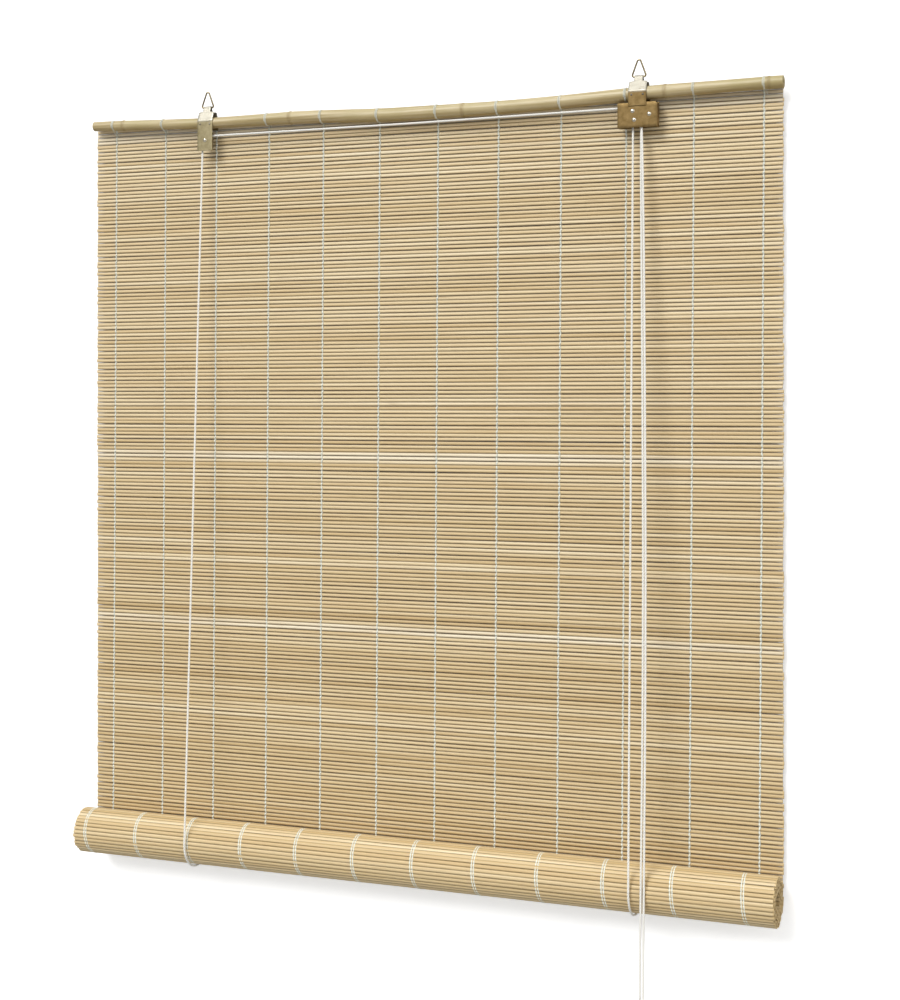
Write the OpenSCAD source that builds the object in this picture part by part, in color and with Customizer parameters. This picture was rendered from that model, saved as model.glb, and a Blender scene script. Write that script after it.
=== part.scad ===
// Bamboo roll-up blind, shown half raised: a pole head rail, a mat of thin reeds that rolls up from
// below in two cord slings, a pulley on the left hanger and a cord lock on the right hanger.
// X runs along the rail, Y towards the wall and Z up. The origin lies midway between the two hanger
// rings, at the height where the hooks in the wall carry them.

/* [Reed mat] */
// Width of the mat, along its slats
mat_w = 800; // [620:10:1000]
// Height of the mat from the rail's axis down to the roll's axis
hung_h = 804.5; // [500:0.5:1000]
// How far the middle of the mat and rail lies right of the hangers' middle
mat_shift = -3; // [-10:0.5:10]
// Distance from one slat to the next
slat_pitch = 4.2; // [3.8:0.1:6]
// Height of one slat
slat_h = 2.8; // [2:0.1:3.2]
// Thickness of one slat
slat_t = 2.3; // [1.8:0.1:2.4]
// Thickness of the mat between two slats
web_t = 0.9; // [0.6:0.1:1.4]
// Gap between the rail's back and the mat's front
mat_gap = 0.95; // [0.9:0.05:4]
// Number of rows of open gaps between the slats
gap_rows = 10; // [4:1:10]
// Height of an open gap
gap_h = 0.8; // [0.4:0.1:0.9]
// Number of warp thread columns
thread_count = 12; // [8:1:12]
// Distance from the mat's left edge to the first thread column
thread_left = 25.5; // [15:0.5:40]
// Distance from the mat's right edge to the last thread column
thread_right = 20.8; // [15:0.1:40]
// Share of the thread span by which the middle columns lie left of an even spacing
thread_drift = 0.047; // [0:0.001:0.08]
// Width of one thread column
thread_w = 1.4; // [1:0.1:2]
// Thickness of one thread
thread_t = 0.35; // [0.2:0.05:0.4]

/* [Roll] */
// Diameter of the rolled-up part of the mat
roll_d = 52.5; // [44:0.5:70]
// Diameter of the hollow in the middle of the roll
roll_core_d = 15; // [9:0.5:18]
// Distance from one turn of the roll to the next
turn_pitch = 2.55; // [2.5:0.05:3.2]

/* [Head rail] */
// How far the bamboo pole stands out past the mat at its left end
rail_left_over = -2.5; // [-5:0.5:15]
// How far the bamboo pole stands out past the mat at its right end
rail_right_over = 1.5; // [-5:0.5:15]
// Diameter of the pole at its left end
rail_left_d = 10.6; // [9:0.1:13]
// Diameter of the pole in the middle
rail_mid_d = 15; // [13:0.1:18]
// Diameter of the pole at its right end
rail_right_d = 12.8; // [10:0.1:15]
// How far the pole sags between its hangers
rail_sag = 5; // [0:0.5:5]
// How far the left end rises over the hangers' height
rail_left_rise = 5; // [0:0.5:8]
// How far the right end rises over the hangers' height
rail_right_rise = 2; // [0:0.5:8]
// How far a bamboo node stands out of the pole
node_bulge = 0.35; // [0.1:0.05:0.6]
// Thickness of the thread that ties the mat to the pole
tie_t = 0.6; // [0.3:0.1:0.7]

/* [Hangers] */
// Distance of each hanger in from the end of a mat of this width
hanger_inset = 149; // [100:1:180]
// Width of a hanger strap
strap_w = 19; // [16:0.5:24]
// Thickness of the strap's sheet metal
strap_t = 0.8; // [0.5:0.1:1]
// Width of the strap's neck, which curls round the ring
neck_w = 9; // [6:0.5:9.5]
// Height from the strap's shoulder to the ring's bar
neck_h = 5; // [3.5:0.5:8]
// Distance from the ring's bar down to the rail's axis
eye_drop = 17; // [16:0.5:26]
// Length of the left strap's front leg below the rail's axis
left_leg = 32; // [30:0.5:36]
// Length of each strap's back leg below the rail's axis
back_leg = 8; // [4:0.5:12]
// Diameter of the ring's wire
wire_d = 1.8; // [1.4:0.1:2.4]
// Height inside the ring, from its bar's middle to where the hook carries it
ring_h = 16.4; // [14:0.1:26]
// Distance between the ring's two lower bend centres
ring_base = 10; // [10:0.5:16]
// Radius of the ring's bends
ring_bend = 2; // [1.5:0.1:3]
// Distance of a strap nail from the strap's middle
nail_x = 6; // [4:0.5:6.5]
// Diameter of a strap nail
nail_d = 1.2; // [0.8:0.1:1.6]

/* [Left pulley] */
// Distance from the rail's axis down to the pulley's axle
pulley_drop = 20.2; // [18.5:0.1:22]
// Diameter of the pulley wheel
wheel_d = 12; // [10.5:0.5:12.5]
// Diameter at the bottom of the wheel's groove
groove_d = 7.1; // [6:0.1:7.5]
// Thickness of the pulley wheel
wheel_t = 4.2; // [3.8:0.1:5]
// Width of the cage round the wheel
cage_w = 14; // [13:0.5:17]
// Thickness of the cage's sheet metal
cage_t = 0.6; // [0.4:0.1:0.8]
// Height of the cage's top over the axle
cage_up = 8.6; // [8:0.1:9]
// Depth of the cage's lower edge below the axle
cage_down = 9; // [7:0.5:9.5]

/* [Cord lock] */
// Width of the lock
lock_w = 42; // [40:0.5:50]
// Height of the lock
lock_h = 26; // [25:0.5:32]
// Depth of the lock
lock_d = 8; // [7.6:0.1:9]
// Thickness of the lock's sheet metal
lock_t = 0.8; // [0.5:0.1:1]
// Distance from the rail's axis down to the lock's top
lock_drop = 9.5; // [9:0.1:12]
// Height over which the right strap laps the lock's front
lock_lap = 4; // [2:0.5:5]
// Diameter of the guide roller at the top of the lock
roller_d = 4.5; // [4:0.1:5]
// Place of the guide roller, across from the lock's middle
roller_x = -5.1; // [-6:0.1:-4]
// Depth of the guide roller below the lock's top
roller_drop = 8.9; // [8:0.1:10]
// Distance from the roller down to the anvil pin that the cords run past
anvil_drop = 9.1; // [8:0.1:10]
// Place of the anvil pin, across from the lock's middle
anvil_x = -3.4; // [-4:0.1:-3]
// Place of the cam's pivot, across from the lock's middle
cam_x = 12.4; // [12:0.1:14]
// Depth of the cam's pivot below the lock's top
cam_drop = 12.9; // [12:0.1:14]
// Radius of the cam's boss
cam_boss_r = 3.2; // [2.6:0.1:3.6]
// Diameter of the rivets in the pulley and the lock
rivet_d = 2.4; // [2:0.1:2.6]
// Diameter of a rivet's head
rivet_head_d = 4.4; // [3.6:0.1:5]

/* [Cords] */
// Diameter of the cord
cord_d = 2.4; // [1.8:0.1:2.6]
// How far each lift cord goes under the roll outside its hanger, from the middle of the mat
sling_out = 3; // [0:0.5:6]
// Height of the straight runs in the hank of spare cord
hank_run = 42; // [30:1:60]
// Radius of the cord's bends in the hank
hank_bend = 7.5; // [7.2:0.1:10]
// Depth of the hank, across its turns
hank_depth = 48; // [30:1:60]
// Height of the band that ties the hank
hank_band_h = 5; // [3:0.5:10]
// Diameter of the pull knob
knob_d = 18; // [14:0.5:24]
// Height of the pull knob
knob_h = 32; // [24:1:45]

/* [Hidden] */
$fn = 48;

// Clearances: a running pin, a fixed pin, a wheel's side, a cord beside what it runs on, a strap round
// the pole, and faces that only just clear
run_gap = 0.08;
pin_gap = 0.04;
side_gap = 0.25;
cord_gap = 0.25;
strap_gap = 0.15;
seat_gap = 0.05;
clear_gap = 0.3;

// Distance of each hanger from the middle, and heights of the ring's bar, the rail's axis and the roll's axis
hanger_x = mat_w / 2 - hanger_inset;
bar_z = -ring_h;
rail_z = bar_z - eye_drop;
roll_z = rail_z - hung_h;

// The pole: its place along X, its line's height and its diameter, from -1 at the left end to 1
rail_half = (mat_w + rail_left_over + rail_right_over) / 2;
rail_mid = mat_shift + (rail_right_over - rail_left_over) / 2;
rail_line = [
    [-1, rail_left_rise], [-0.62, -0.1 * rail_sag], [-0.32, -0.1 * rail_sag], [-0.08, -0.92 * rail_sag],
    [0.25, -rail_sag], [0.42, -0.74 * rail_sag], [0.66, 0.1 * rail_sag], [1, rail_right_rise]
];
rail_nodes = [-1, -0.9, -0.363, 0.15, 0.7, 0.965, 1];
node_reach = 6;
rail_sides = 20;
function share_at(x) = (x - rail_mid) / rail_half;
function rail_z_at(x) = rail_z + lookup(share_at(x), rail_line);
function plain_d(s) =
    s < 0 ? rail_left_d + (1 + s) * (rail_mid_d - rail_left_d) : rail_mid_d + s * (rail_right_d - rail_mid_d);
function rail_r_at(x) = plain_d(share_at(x)) / 2;
function node_share(x) =
    max([for (k = [1:len(rail_nodes) - 2]) max(0, 1 - abs(x - rail_nodes[k] * rail_half) / node_reach)]);

// The mat: its plane, its slats and its thread columns
mat_y = rail_mid_d / 2 + mat_gap + slat_t / 2;
mat_front = mat_y - slat_t / 2;
mat_slats = floor(hung_h / slat_pitch) + 1;
mat_bottom = rail_z - (mat_slats - 1) * slat_pitch - slat_h;
thread_span = mat_w - thread_left - thread_right;
function thread_x(i) =
    let (f = i / (thread_count - 1))
    mat_shift - mat_w / 2 + thread_left + thread_span * (f + thread_drift * f * (f - 1));
function slat_z(i) = rail_z - slat_h / 2 - i * slat_pitch;
gap_step = floor((mat_slats - 16) / gap_rows);
gap_first = 12;
gap_margin = 4;

// The roll: a spiral that starts at the back, where the mat comes down, and winds inwards
roll_r = roll_d / 2;
turn_r = roll_r - slat_t / 2;
roll_y = mat_y - turn_r;
first_slat = mat_slats * slat_pitch + slat_h / 2 - hung_h;
core_r = roll_core_d / 2 + slat_t / 2;
rolled_l = PI * (pow(turn_r, 2) - pow(core_r, 2)) / turn_pitch;
roll_slats = floor((rolled_l - first_slat) / slat_pitch);
function turn_angle(s) = (turn_r - sqrt(pow(turn_r, 2) - turn_pitch * s / PI)) * 360 / turn_pitch;
function turn_point(s, out) =
    let (a = turn_angle(s), r = turn_r - turn_pitch * a / 360 + out)
    [roll_y + r * cos(a), roll_z - r * sin(a)];

// Straps, with the inner half width that fits round the pole at each hanger
eye_bore = wire_d / 2 + run_gap;
eye_r = eye_bore + strap_t;
eye_mid = (eye_bore + eye_r) / 2;
knee_z = rail_z + 2;
nail_z = rail_z - 2;
nail_head_d = 2 * nail_d;
nail_head_t = 0.6;
nail_l = 7;
left_in = rail_r_at(-hanger_x) + strap_gap;
right_in = rail_r_at(hanger_x) + strap_gap;
right_leg = lock_drop + lock_lap;

// Left pulley
pulley_z = rail_z - pulley_drop;
cage_in = wheel_t + 2 * side_gap;
wheel_y = -left_in + cage_t + cage_in / 2;
cage_back = wheel_y + cage_in / 2 + cage_t;
wheel_pitch_r = groove_d / 2 + cord_d / 2 + cord_gap;
rivet_head_t = 1;

// Cord lock, and the places of its roller, anvil pin and cam as [x, z]
lock_top = rail_z - lock_drop;
lock_bottom = lock_top - lock_h;
lock_front = -right_in;
lock_back = lock_front + lock_d;
lock_room = lock_d - 2 * lock_t;
lock_mid = (lock_front + lock_back) / 2;
roller_at = [hanger_x + roller_x, lock_top - roller_drop];
anvil_at = [hanger_x + anvil_x, lock_top - roller_drop - anvil_drop];
cam_at = [hanger_x + cam_x, lock_top - cam_drop];
roller_pitch_r = roller_d / 2 + cord_d / 2 + cord_gap;
anvil_pass = rivet_d / 2 + cord_d / 2 + cord_gap;
front_lane = lock_mid - lock_room / 4;
rear_lane = lock_mid + lock_room / 4;
cam_reach = cam_x - anvil_x - anvil_pass - cord_d / 2 - clear_gap;
cam_tooth = 0.6;

// Slings and lift cords
sling_r = roll_r + clear_gap + cord_d / 2;
left_sling_x = mat_shift - hanger_x - sling_out + 1;
right_sling_x = mat_shift + hanger_x + sling_out + 1;
sling_front = roll_y - sling_r;
sling_back = roll_y + sling_r;
knot_r = 1.1 * cord_d;
knot_z = rail_z + 5.4;
knot_rest = strap_t + 1.85;
left_knot_y = left_in + knot_rest;
right_knot_y = right_in + knot_rest;

// Pull cords: each goes down by steps of [share of the mat's height, place beside the hanger, depth]
hank_share = 1.1622;
front_steps = [
    [0.056, 5, -6], [0.2026, 8.6, -12.5], [0.394, 12.2, -21.5], [0.588, 15.4, -30.5], [0.7806, 17, -37.5],
    [0.9484, 17, -41.8], [1.0006, 16.8, -42.4], [1.0727, 16.4, -42.6], [hank_share, 16, -42.6]
];
rear_steps = [
    [0.056, 3, -4.4], [0.2026, 6, -12.5], [0.394, 9.6, -21.5], [0.588, 12.8, -30.5], [0.7806, 14.2, -37.5],
    [0.9484, 14, -41.8], [1.0006, 13.6, -42.4], [1.0727, 13, -42.6], [hank_share, 12.6, -42.6]
];
function route(beside, lane, steps) = concat(
    [[hanger_x + beside, lane, lock_bottom]],
    [for (s = steps) [hanger_x + s[1], s[2], rail_z - s[0] * hung_h]]
);
front_route = route(4, front_lane, front_steps);
rear_route = route(2.6, rear_lane, rear_steps);
hank_x = hanger_x + 14.3;
hank_y = -42.6;
hank_top = rail_z - hank_share * hung_h - clear_gap;
hank_r = hank_bend + cord_d / 2;
hank_z = hank_top - hank_r - hank_run / 2;
hank_bottom = hank_top - 2 * hank_r - hank_run;
band_t = 0.8;
tail_l = 20;
tail_x = cord_d / 2 + seat_gap;
knob_top = hank_bottom - tail_l / 2;
knob_bore_d = 2 * cord_d + 1;
knob_bore_l = 12;

// A bent wire or cord as a tube with flat sides, along points, square to a direction ref
function unit(v) = v / norm(v);
function bend_dir(p, i) =
    unit((i == len(p) - 1 ? p[i] : p[i + 1]) - (i == 0 ? p[i] : p[i - 1]));
module tube(p, r, ref, sides = 8) {
    rings = [for (i = [0:len(p) - 1])
        let (t = bend_dir(p, i), n = unit(cross(t, ref)), b = cross(t, n))
        for (k = [0:sides - 1]) p[i] + r * (cos(360 * k / sides) * n + sin(360 * k / sides) * b)];
    last = (len(p) - 1) * sides;
    walls = [for (i = [0:len(p) - 2], k = [0:sides - 1])
        let (a = i * sides + k, b = i * sides + (k + 1) % sides) [a, a + sides, b + sides, b]];
    caps = [[for (k = [0:sides - 1]) k], [for (k = [sides - 1:-1:0]) last + k]];
    polyhedron(rings, concat(walls, caps), convexity = 6);
}

// The same for a closed loop, which has no ends
module loop_tube(p, r, ref, sides = 12) {
    n = len(p);
    rings = [for (i = [0:n - 1])
        let (t = unit(p[(i + 1) % n] - p[(i + n - 1) % n]), u = unit(cross(t, ref)), b = cross(t, u))
        for (k = [0:sides - 1]) p[i] + r * (cos(360 * k / sides) * u + sin(360 * k / sides) * b)];
    walls = [for (i = [0:n - 1], k = [0:sides - 1])
        let (a = i * sides, b = (i + 1) % n * sides, m = (k + 1) % sides)
        each [[a + k, b + k, b + m], [a + k, b + m, a + m]]];
    polyhedron(rings, walls, convexity = 6);
}

// Points of an arc in the XZ plane at depth y, round the centre c = [x, z]
function arc_points(c, r, y, from, to, n) =
    [for (i = [0:n]) let (a = from + (to - from) * i / n) [c[0] + r * cos(a), y, c[1] + r * sin(a)]];

// Turns a flat outline drawn in Y and Z into a solid of width w along X, centred on x
module along_x(x, w) translate([x, 0, 0]) rotate([90, 0, 90]) linear_extrude(w, center = true) children();

// A pin from y0 to y1 at [x, z]
module y_pin(at, y0, y1, d) translate([at[0], y1, at[1]]) rotate([90, 0, 0]) cylinder(h = y1 - y0, d = d);

// A rivet through y0 to y1, with a domed head in front and a flat one behind
module rivet(at, y0, y1) {
    dome_r = (pow(rivet_head_d / 2, 2) + pow(rivet_head_t, 2)) / (2 * rivet_head_t);
    y_pin(at, y0 - rivet_head_t / 2, y1 + cage_t / 2, rivet_d);
    y_pin(at, y1, y1 + cage_t, rivet_head_d * 0.8);
    intersection() {
        translate([at[0], y0 - rivet_head_t + dome_r, at[1]]) sphere(dome_r);
        y_pin(at, y0 - rivet_head_t, y0, rivet_head_d);
    }
}

// The outline in Y and Z of one leg of a strap, from its foot up to the eye
function leg_outline(side, inner, leg) = [
    [side * (inner + strap_t), rail_z - leg], [side * (inner + strap_t), knee_z], [side * eye_mid, bar_z],
    [side * eye_mid / 2, bar_z - 0.8 * eye_mid], [side * inner, knee_z], [side * inner, rail_z - leg]
];
function reverse(p) = [for (i = [len(p) - 1:-1:0]) p[i]];

// A strap: two legs round the pole that meet in the eye of the ring's bar
module strap(x, inner, leg) {
    outer = inner + strap_t;
    difference() {
        along_x(x, strap_w) difference() {
            union() {
                polygon(leg_outline(1, inner, back_leg));
                polygon(reverse(leg_outline(-1, inner, leg)));
                translate([0, bar_z]) circle(eye_r);
            }
            translate([0, bar_z]) circle(eye_bore);
        }
        for (side = [-1, 1]) {
            translate([x + side * (neck_w + strap_w) / 2, 0, bar_z - neck_h + ring_h / 2])
                cube([strap_w, 4 * outer, ring_h], center = true);
            y_pin([x + side * nail_x, nail_z], -outer - strap_t, 0, nail_d + 2 * pin_gap);
        }
    }
}

// A ring of wire bent to a triangle, with its lower bar in the strap's eye
module ring(x) {
    apex = atan2(ring_h + wire_d / 2 - 2 * ring_bend, ring_base / 2);
    loop = concat(
        arc_points([x + ring_base / 2, bar_z + ring_bend], ring_bend, 0, -90, 90 - apex, 5),
        arc_points([x, wire_d / 2 - ring_bend], ring_bend, 0, 90 - apex, 90 + apex, 6),
        arc_points([x - ring_base / 2, bar_z + ring_bend], ring_bend, 0, 90 + apex, 270, 5)
    );
    loop_tube(loop, wire_d / 2, [0, 1, 0]);
}

// A cord under the roll, from its front to its back
module sling(x) translate([x, roll_y, roll_z]) rotate([90, 0, 90]) rotate([0, 0, 180])
    rotate_extrude(angle = 180) translate([sling_r, 0]) circle(d = cord_d);

// A cord behind the mat, from the sling up and over the mat's top to its knot
module back_cord(x, knot_y) tube([
    [x, sling_back, roll_z + clear_gap], [x, sling_back, rail_z - 6], [x, sling_back, rail_z + 1],
    [x, sling_back - 0.5, rail_z + 3], [x, (sling_back + knot_y) / 2, knot_z], [x, knot_y, knot_z]
], cord_d / 2, [1, 0, 0]);

// The bamboo pole, with a ring at each of its nodes and a saw cut at each end
module head_rail() color("#baae8c") {
    stations = [for (k = [0:len(rail_nodes) - 2])
        let (a = rail_nodes[k] * rail_half, b = rail_nodes[k + 1] * rail_half, inner = b - a - 2 * node_reach)
        each concat(
            k == 0 ? [a] : [a, a + node_reach / 3, a + node_reach],
            [for (j = [1:9]) a + node_reach + inner * j / 10],
            k == len(rail_nodes) - 2 ? [b] : [b - node_reach, b - node_reach / 3]
        )];
    rings = [for (x = stations, k = [0:rail_sides - 1])
        let (r = rail_r_at(x + rail_mid) + node_bulge * node_share(x), a = 360 * k / rail_sides)
        [x + rail_mid, r * cos(a), rail_z_at(x + rail_mid) + r * sin(a)]];
    last = (len(stations) - 1) * rail_sides;
    walls = [for (i = [0:len(stations) - 2], k = [0:rail_sides - 1])
        let (a = i * rail_sides + k, b = i * rail_sides + (k + 1) % rail_sides)
        each [[a, a + rail_sides, b + rail_sides], [a, b + rail_sides, b]]];
    caps = [[for (k = [0:rail_sides - 1]) k], [for (k = [rail_sides - 1:-1:0]) last + k]];
    polyhedron(rings, concat(walls, caps), convexity = 4);
}

// The hanging mat: one wall with a ridge for each slat on both faces, and rows of open gaps
module reed_mat() color("#c1af90") difference() {
    front = [for (i = [0:mat_slats - 1], q = [[0.5, web_t], [0.25, slat_t], [-0.25, slat_t], [-0.5, web_t]])
        [mat_y - q[1] / 2, slat_z(i) + q[0] * slat_h]];
    back = [for (i = [mat_slats - 1:-1:0], q = [[-0.5, web_t], [-0.25, slat_t], [0.25, slat_t], [0.5, web_t]])
        [mat_y + q[1] / 2, slat_z(i) + q[0] * slat_h]];
    along_x(mat_shift, mat_w) polygon(concat(front, back));
    for (row = [0:gap_rows - 1], i = [0:thread_count - 2]) {
        gap_z = slat_z(gap_first + row * gap_step) - (slat_pitch + gap_h) / 2;
        translate([thread_x(i) + gap_margin, mat_y - slat_t, gap_z])
            cube([thread_x(i + 1) - thread_x(i) - 2 * gap_margin, 2 * slat_t, gap_h]);
    }
}

// The warp threads: a flat column down the mat's front and back for each
module warp_threads() color("#ded6c2") for (i = [0:thread_count - 1]) {
    x = thread_x(i) - thread_w / 2;
    top = rail_z_at(thread_x(i)) - rail_r_at(thread_x(i)) - tie_t - strap_gap - seat_gap;
    translate([x, mat_front - seat_gap - thread_t, mat_bottom]) cube([thread_w, thread_t, top - mat_bottom]);
    translate([x, mat_y + slat_t / 2 + seat_gap, mat_bottom]) cube([thread_w, thread_t, rail_z - mat_bottom]);
}

// The thread loops that tie the mat to the pole, left out where a strap covers the pole
module rail_ties() color("#ded6c2") for (i = [0:thread_count - 1]) {
    x = thread_x(i);
    r = rail_r_at(x) + strap_gap;
    if (abs(abs(x) - hanger_x) > strap_w / 2 + thread_w) along_x(x, thread_w) {
        difference() {
            union() {
                translate([0, rail_z_at(x)]) circle(r + tie_t);
                translate([0, rail_z_at(x) - r - tie_t]) square([mat_front - seat_gap, tie_t]);
            }
            translate([0, rail_z_at(x)]) circle(r);
        }
    }
}

module left_strap() color("#b59a63") difference() {
    strap(-hanger_x, left_in, left_leg);
    y_pin([-hanger_x, pulley_z], -left_in - 2 * strap_t, 0, rivet_d + 2 * pin_gap);
}

module right_strap() color("#b59a63") strap(hanger_x, right_in, right_leg);

// The nails that hold each strap to the pole
module strap_nails() color("#6f675a") for (side = [-1, 1], n = [-1, 1]) {
    face = -(side < 0 ? left_in : right_in) - strap_t;
    at = [side * hanger_x + n * nail_x, nail_z];
    y_pin(at, face - nail_head_t / 2, face + nail_l, nail_d);
    y_pin(at, face - nail_head_t, face, nail_head_d);
}

module left_ring() color("#c9c9c6") ring(-hanger_x);

module right_ring() color("#c9c9c6") ring(hanger_x);

// The cage of the left pulley: a sheet folded over the wheel
module left_pulley_cage() color("#a58a56") difference() {
    translate([-hanger_x - cage_w / 2, -left_in, pulley_z - cage_down])
        cube([cage_w, cage_back + left_in, cage_up + cage_down]);
    translate([-hanger_x - cage_w, wheel_y - cage_in / 2, pulley_z - 2 * cage_down])
        cube([2 * cage_w, cage_in, cage_up + 2 * cage_down - cage_t]);
    y_pin([-hanger_x, pulley_z], -2 * left_in, 2 * left_in, rivet_d + 2 * pin_gap);
}

module left_pulley_wheel() color("#8d8a80") translate([-hanger_x, wheel_y, pulley_z]) rotate([90, 0, 0])
    rotate_extrude() polygon([
        [rivet_d / 2 + run_gap, -wheel_t / 2], [wheel_d / 2, -wheel_t / 2], [wheel_d / 2, -0.8 * cord_d],
        [groove_d / 2, -0.6 * cord_d], [groove_d / 2, 0.6 * cord_d], [wheel_d / 2, 0.8 * cord_d],
        [wheel_d / 2, wheel_t / 2], [rivet_d / 2 + run_gap, wheel_t / 2]
    ]);

module left_pulley_rivet() color("#c9c9c6") rivet([-hanger_x, pulley_z], -left_in - strap_t, cage_back);

// The lock's front: a plate folded back along its top and its right side
module lock_housing() color("#a88955") difference() {
    translate([hanger_x - lock_w / 2, lock_front, lock_bottom]) cube([lock_w, lock_d - lock_t, lock_h]);
    translate([hanger_x - lock_w / 2 - lock_t, lock_front + lock_t, lock_bottom - lock_t])
        cube([lock_w, lock_d, lock_h]);
    for (at = [roller_at, anvil_at, cam_at]) y_pin(at, lock_front - 1, lock_back, rivet_d + 2 * pin_gap);
}

module lock_back_plate() color("#9a7d4c") difference() {
    translate([hanger_x - lock_w / 2, lock_back - lock_t, lock_bottom]) cube([lock_w, lock_t, lock_h]);
    for (at = [roller_at, anvil_at, cam_at]) y_pin(at, lock_front, lock_back + 1, rivet_d + 2 * pin_gap);
}

// The roller that both cords run over
module lock_guide_roller() color("#8d8a80") difference() {
    y_pin(roller_at, lock_mid - lock_room / 2 + side_gap, lock_mid + lock_room / 2 - side_gap, roller_d);
    y_pin(roller_at, lock_front, lock_back, rivet_d + 2 * run_gap);
}

// The toothed cam that falls against the cords and grips them on the anvil pin
module lock_cam() color("#8d8a80") difference() {
    translate([cam_at[0], lock_mid + lock_room / 2 - side_gap, cam_at[1]]) rotate([90, 0, 0])
        linear_extrude(lock_room - 2 * side_gap) {
            circle(cam_boss_r);
            teeth = [for (k = [0:3]) let (a = 188 + 6.5 * k)
                each [cam_reach * [cos(a), sin(a)], (cam_reach - cam_tooth) * [cos(a + 4), sin(a + 4)]]];
            back = [[0, cam_boss_r], [-0.8 * cam_reach, 0.1 * cam_boss_r]];
            polygon(concat(back, teeth, [[0, -cam_boss_r]]));
        }
    y_pin(cam_at, lock_front, lock_back, rivet_d + 2 * run_gap);
}

module lock_rivets() color("#c9c9c6") for (at = [roller_at, anvil_at, cam_at])
    rivet(at, lock_front, lock_back);

// The left cord from its pulley, under the rail and over the lock's roller
module cross_cord() color("#e6e2d8") tube(concat(
    [[-hanger_x - wheel_pitch_r, wheel_y, rail_z - left_leg]],
    arc_points([-hanger_x, pulley_z], wheel_pitch_r, wheel_y, 180, 90, 5),
    [[0, (wheel_y + front_lane) / 2, (pulley_z + wheel_pitch_r + roller_at[1] + roller_pitch_r) / 2 - 1]],
    arc_points(roller_at, roller_pitch_r, front_lane, 90, 0, 5),
    [[anvil_at[0] + anvil_pass, front_lane, anvil_at[1]], front_route[0] + [0, 0, clear_gap]]
), cord_d / 2, [0, 1, 0]);

// The right cord through the lock, up past the anvil pin and over the roller
module right_turn_cord() color("#e6e2d8") tube(concat(
    [[anvil_at[0] - anvil_pass, rear_lane, lock_bottom], [anvil_at[0] - anvil_pass, rear_lane, anvil_at[1]]],
    arc_points(roller_at, roller_pitch_r, rear_lane, 180, 0, 10),
    [[anvil_at[0] + anvil_pass, rear_lane, anvil_at[1]], rear_route[0] + [0, 0, clear_gap]]
), cord_d / 2, [0, 1, 0]);

module left_front_cord() color("#e6e2d8") tube([
    [-hanger_x - wheel_pitch_r, wheel_y, rail_z - left_leg - seat_gap],
    [left_sling_x, sling_front, roll_z + clear_gap]
], cord_d / 2, [1, 0, 0]);

module right_front_cord() color("#e6e2d8") tube([
    [anvil_at[0] - anvil_pass, rear_lane, lock_bottom - seat_gap],
    [right_sling_x, sling_front, roll_z + clear_gap]
], cord_d / 2, [1, 0, 0]);

module left_back_cord() color("#e6e2d8") back_cord(left_sling_x, left_knot_y);

module right_back_cord() color("#e6e2d8") back_cord(right_sling_x, right_knot_y);

// The knots behind the straps in which the two cords end
module cord_knots() color("#e6e2d8") for (at = [[left_sling_x, left_knot_y], [right_sling_x, right_knot_y]])
    translate([at[0], at[1], knot_z]) sphere(knot_r);

module left_sling() color("#e6e2d8") sling(left_sling_x);

module right_sling() color("#e6e2d8") sling(right_sling_x);

// The rolled part of the mat: one spiral band with a ridge for each slat on both faces
module rolled_mat() color("#cab590") {
    spots = [[-0.5, web_t / 2], [0, slat_t / 2], [0.5, web_t / 2]];
    outside = [for (i = [0:roll_slats - 1], q = spots)
        turn_point(first_slat + i * slat_pitch + q[0] * slat_h, q[1])];
    inside = [for (i = [roll_slats - 1:-1:0], q = spots)
        turn_point(first_slat + i * slat_pitch - q[0] * slat_h, -q[1])];
    along_x(mat_shift, mat_w) polygon(concat(outside, inside));
}

module front_pull_cord() color("#e6e2d8") tube(front_route, cord_d / 2, [0, 1, 0]);

module rear_pull_cord() color("#e6e2d8") tube(rear_route, cord_d / 2, [0, 1, 0]);

// The spare pull cord, wound into a hank
module cord_hank() color("#e6e2d8") translate([hank_x, hank_y + hank_depth / 2, hank_z]) rotate([90, 0, 0])
    linear_extrude(hank_depth) {
        square([2 * hank_r, hank_run], center = true);
        for (side = [-1, 1]) translate([0, side * hank_run / 2]) circle(hank_r);
    }

module hank_band() color("#b9a98a") translate([hank_x, hank_y, hank_z]) difference() {
    inner = [2 * (hank_r + seat_gap), hank_depth + 2 * seat_gap, 2 * hank_band_h];
    cube([inner[0] + 2 * band_t, inner[1] + 2 * band_t, hank_band_h], center = true);
    cube(inner, center = true);
}

// The two cord ends below the hank, which go into the knob
module cord_tails() color("#e6e2d8") for (side = [-1, 1])
    translate([hank_x + side * tail_x, hank_y, hank_bottom - tail_l])
        cylinder(h = tail_l + cord_d / 4, d = cord_d);

// The turned wooden knob on the ends of the pull cords
module pull_knob() color("#b98d52") translate([hank_x, hank_y, knob_top]) rotate_extrude() polygon(concat(
    [[knob_bore_d / 2, -knob_bore_l], [knob_bore_d / 2, 0]],
    [[0.3 * knob_d, 0], [0.34 * knob_d, -0.1 * knob_h]],
    [for (a = [60:-15:-75]) [0.34 * knob_d + 0.16 * knob_d * cos(a), -0.6 * knob_h + 0.4 * knob_h * sin(a)]],
    [[0.2 * knob_d, -knob_h], [0, -knob_h], [0, -knob_bore_l]]
));

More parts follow.
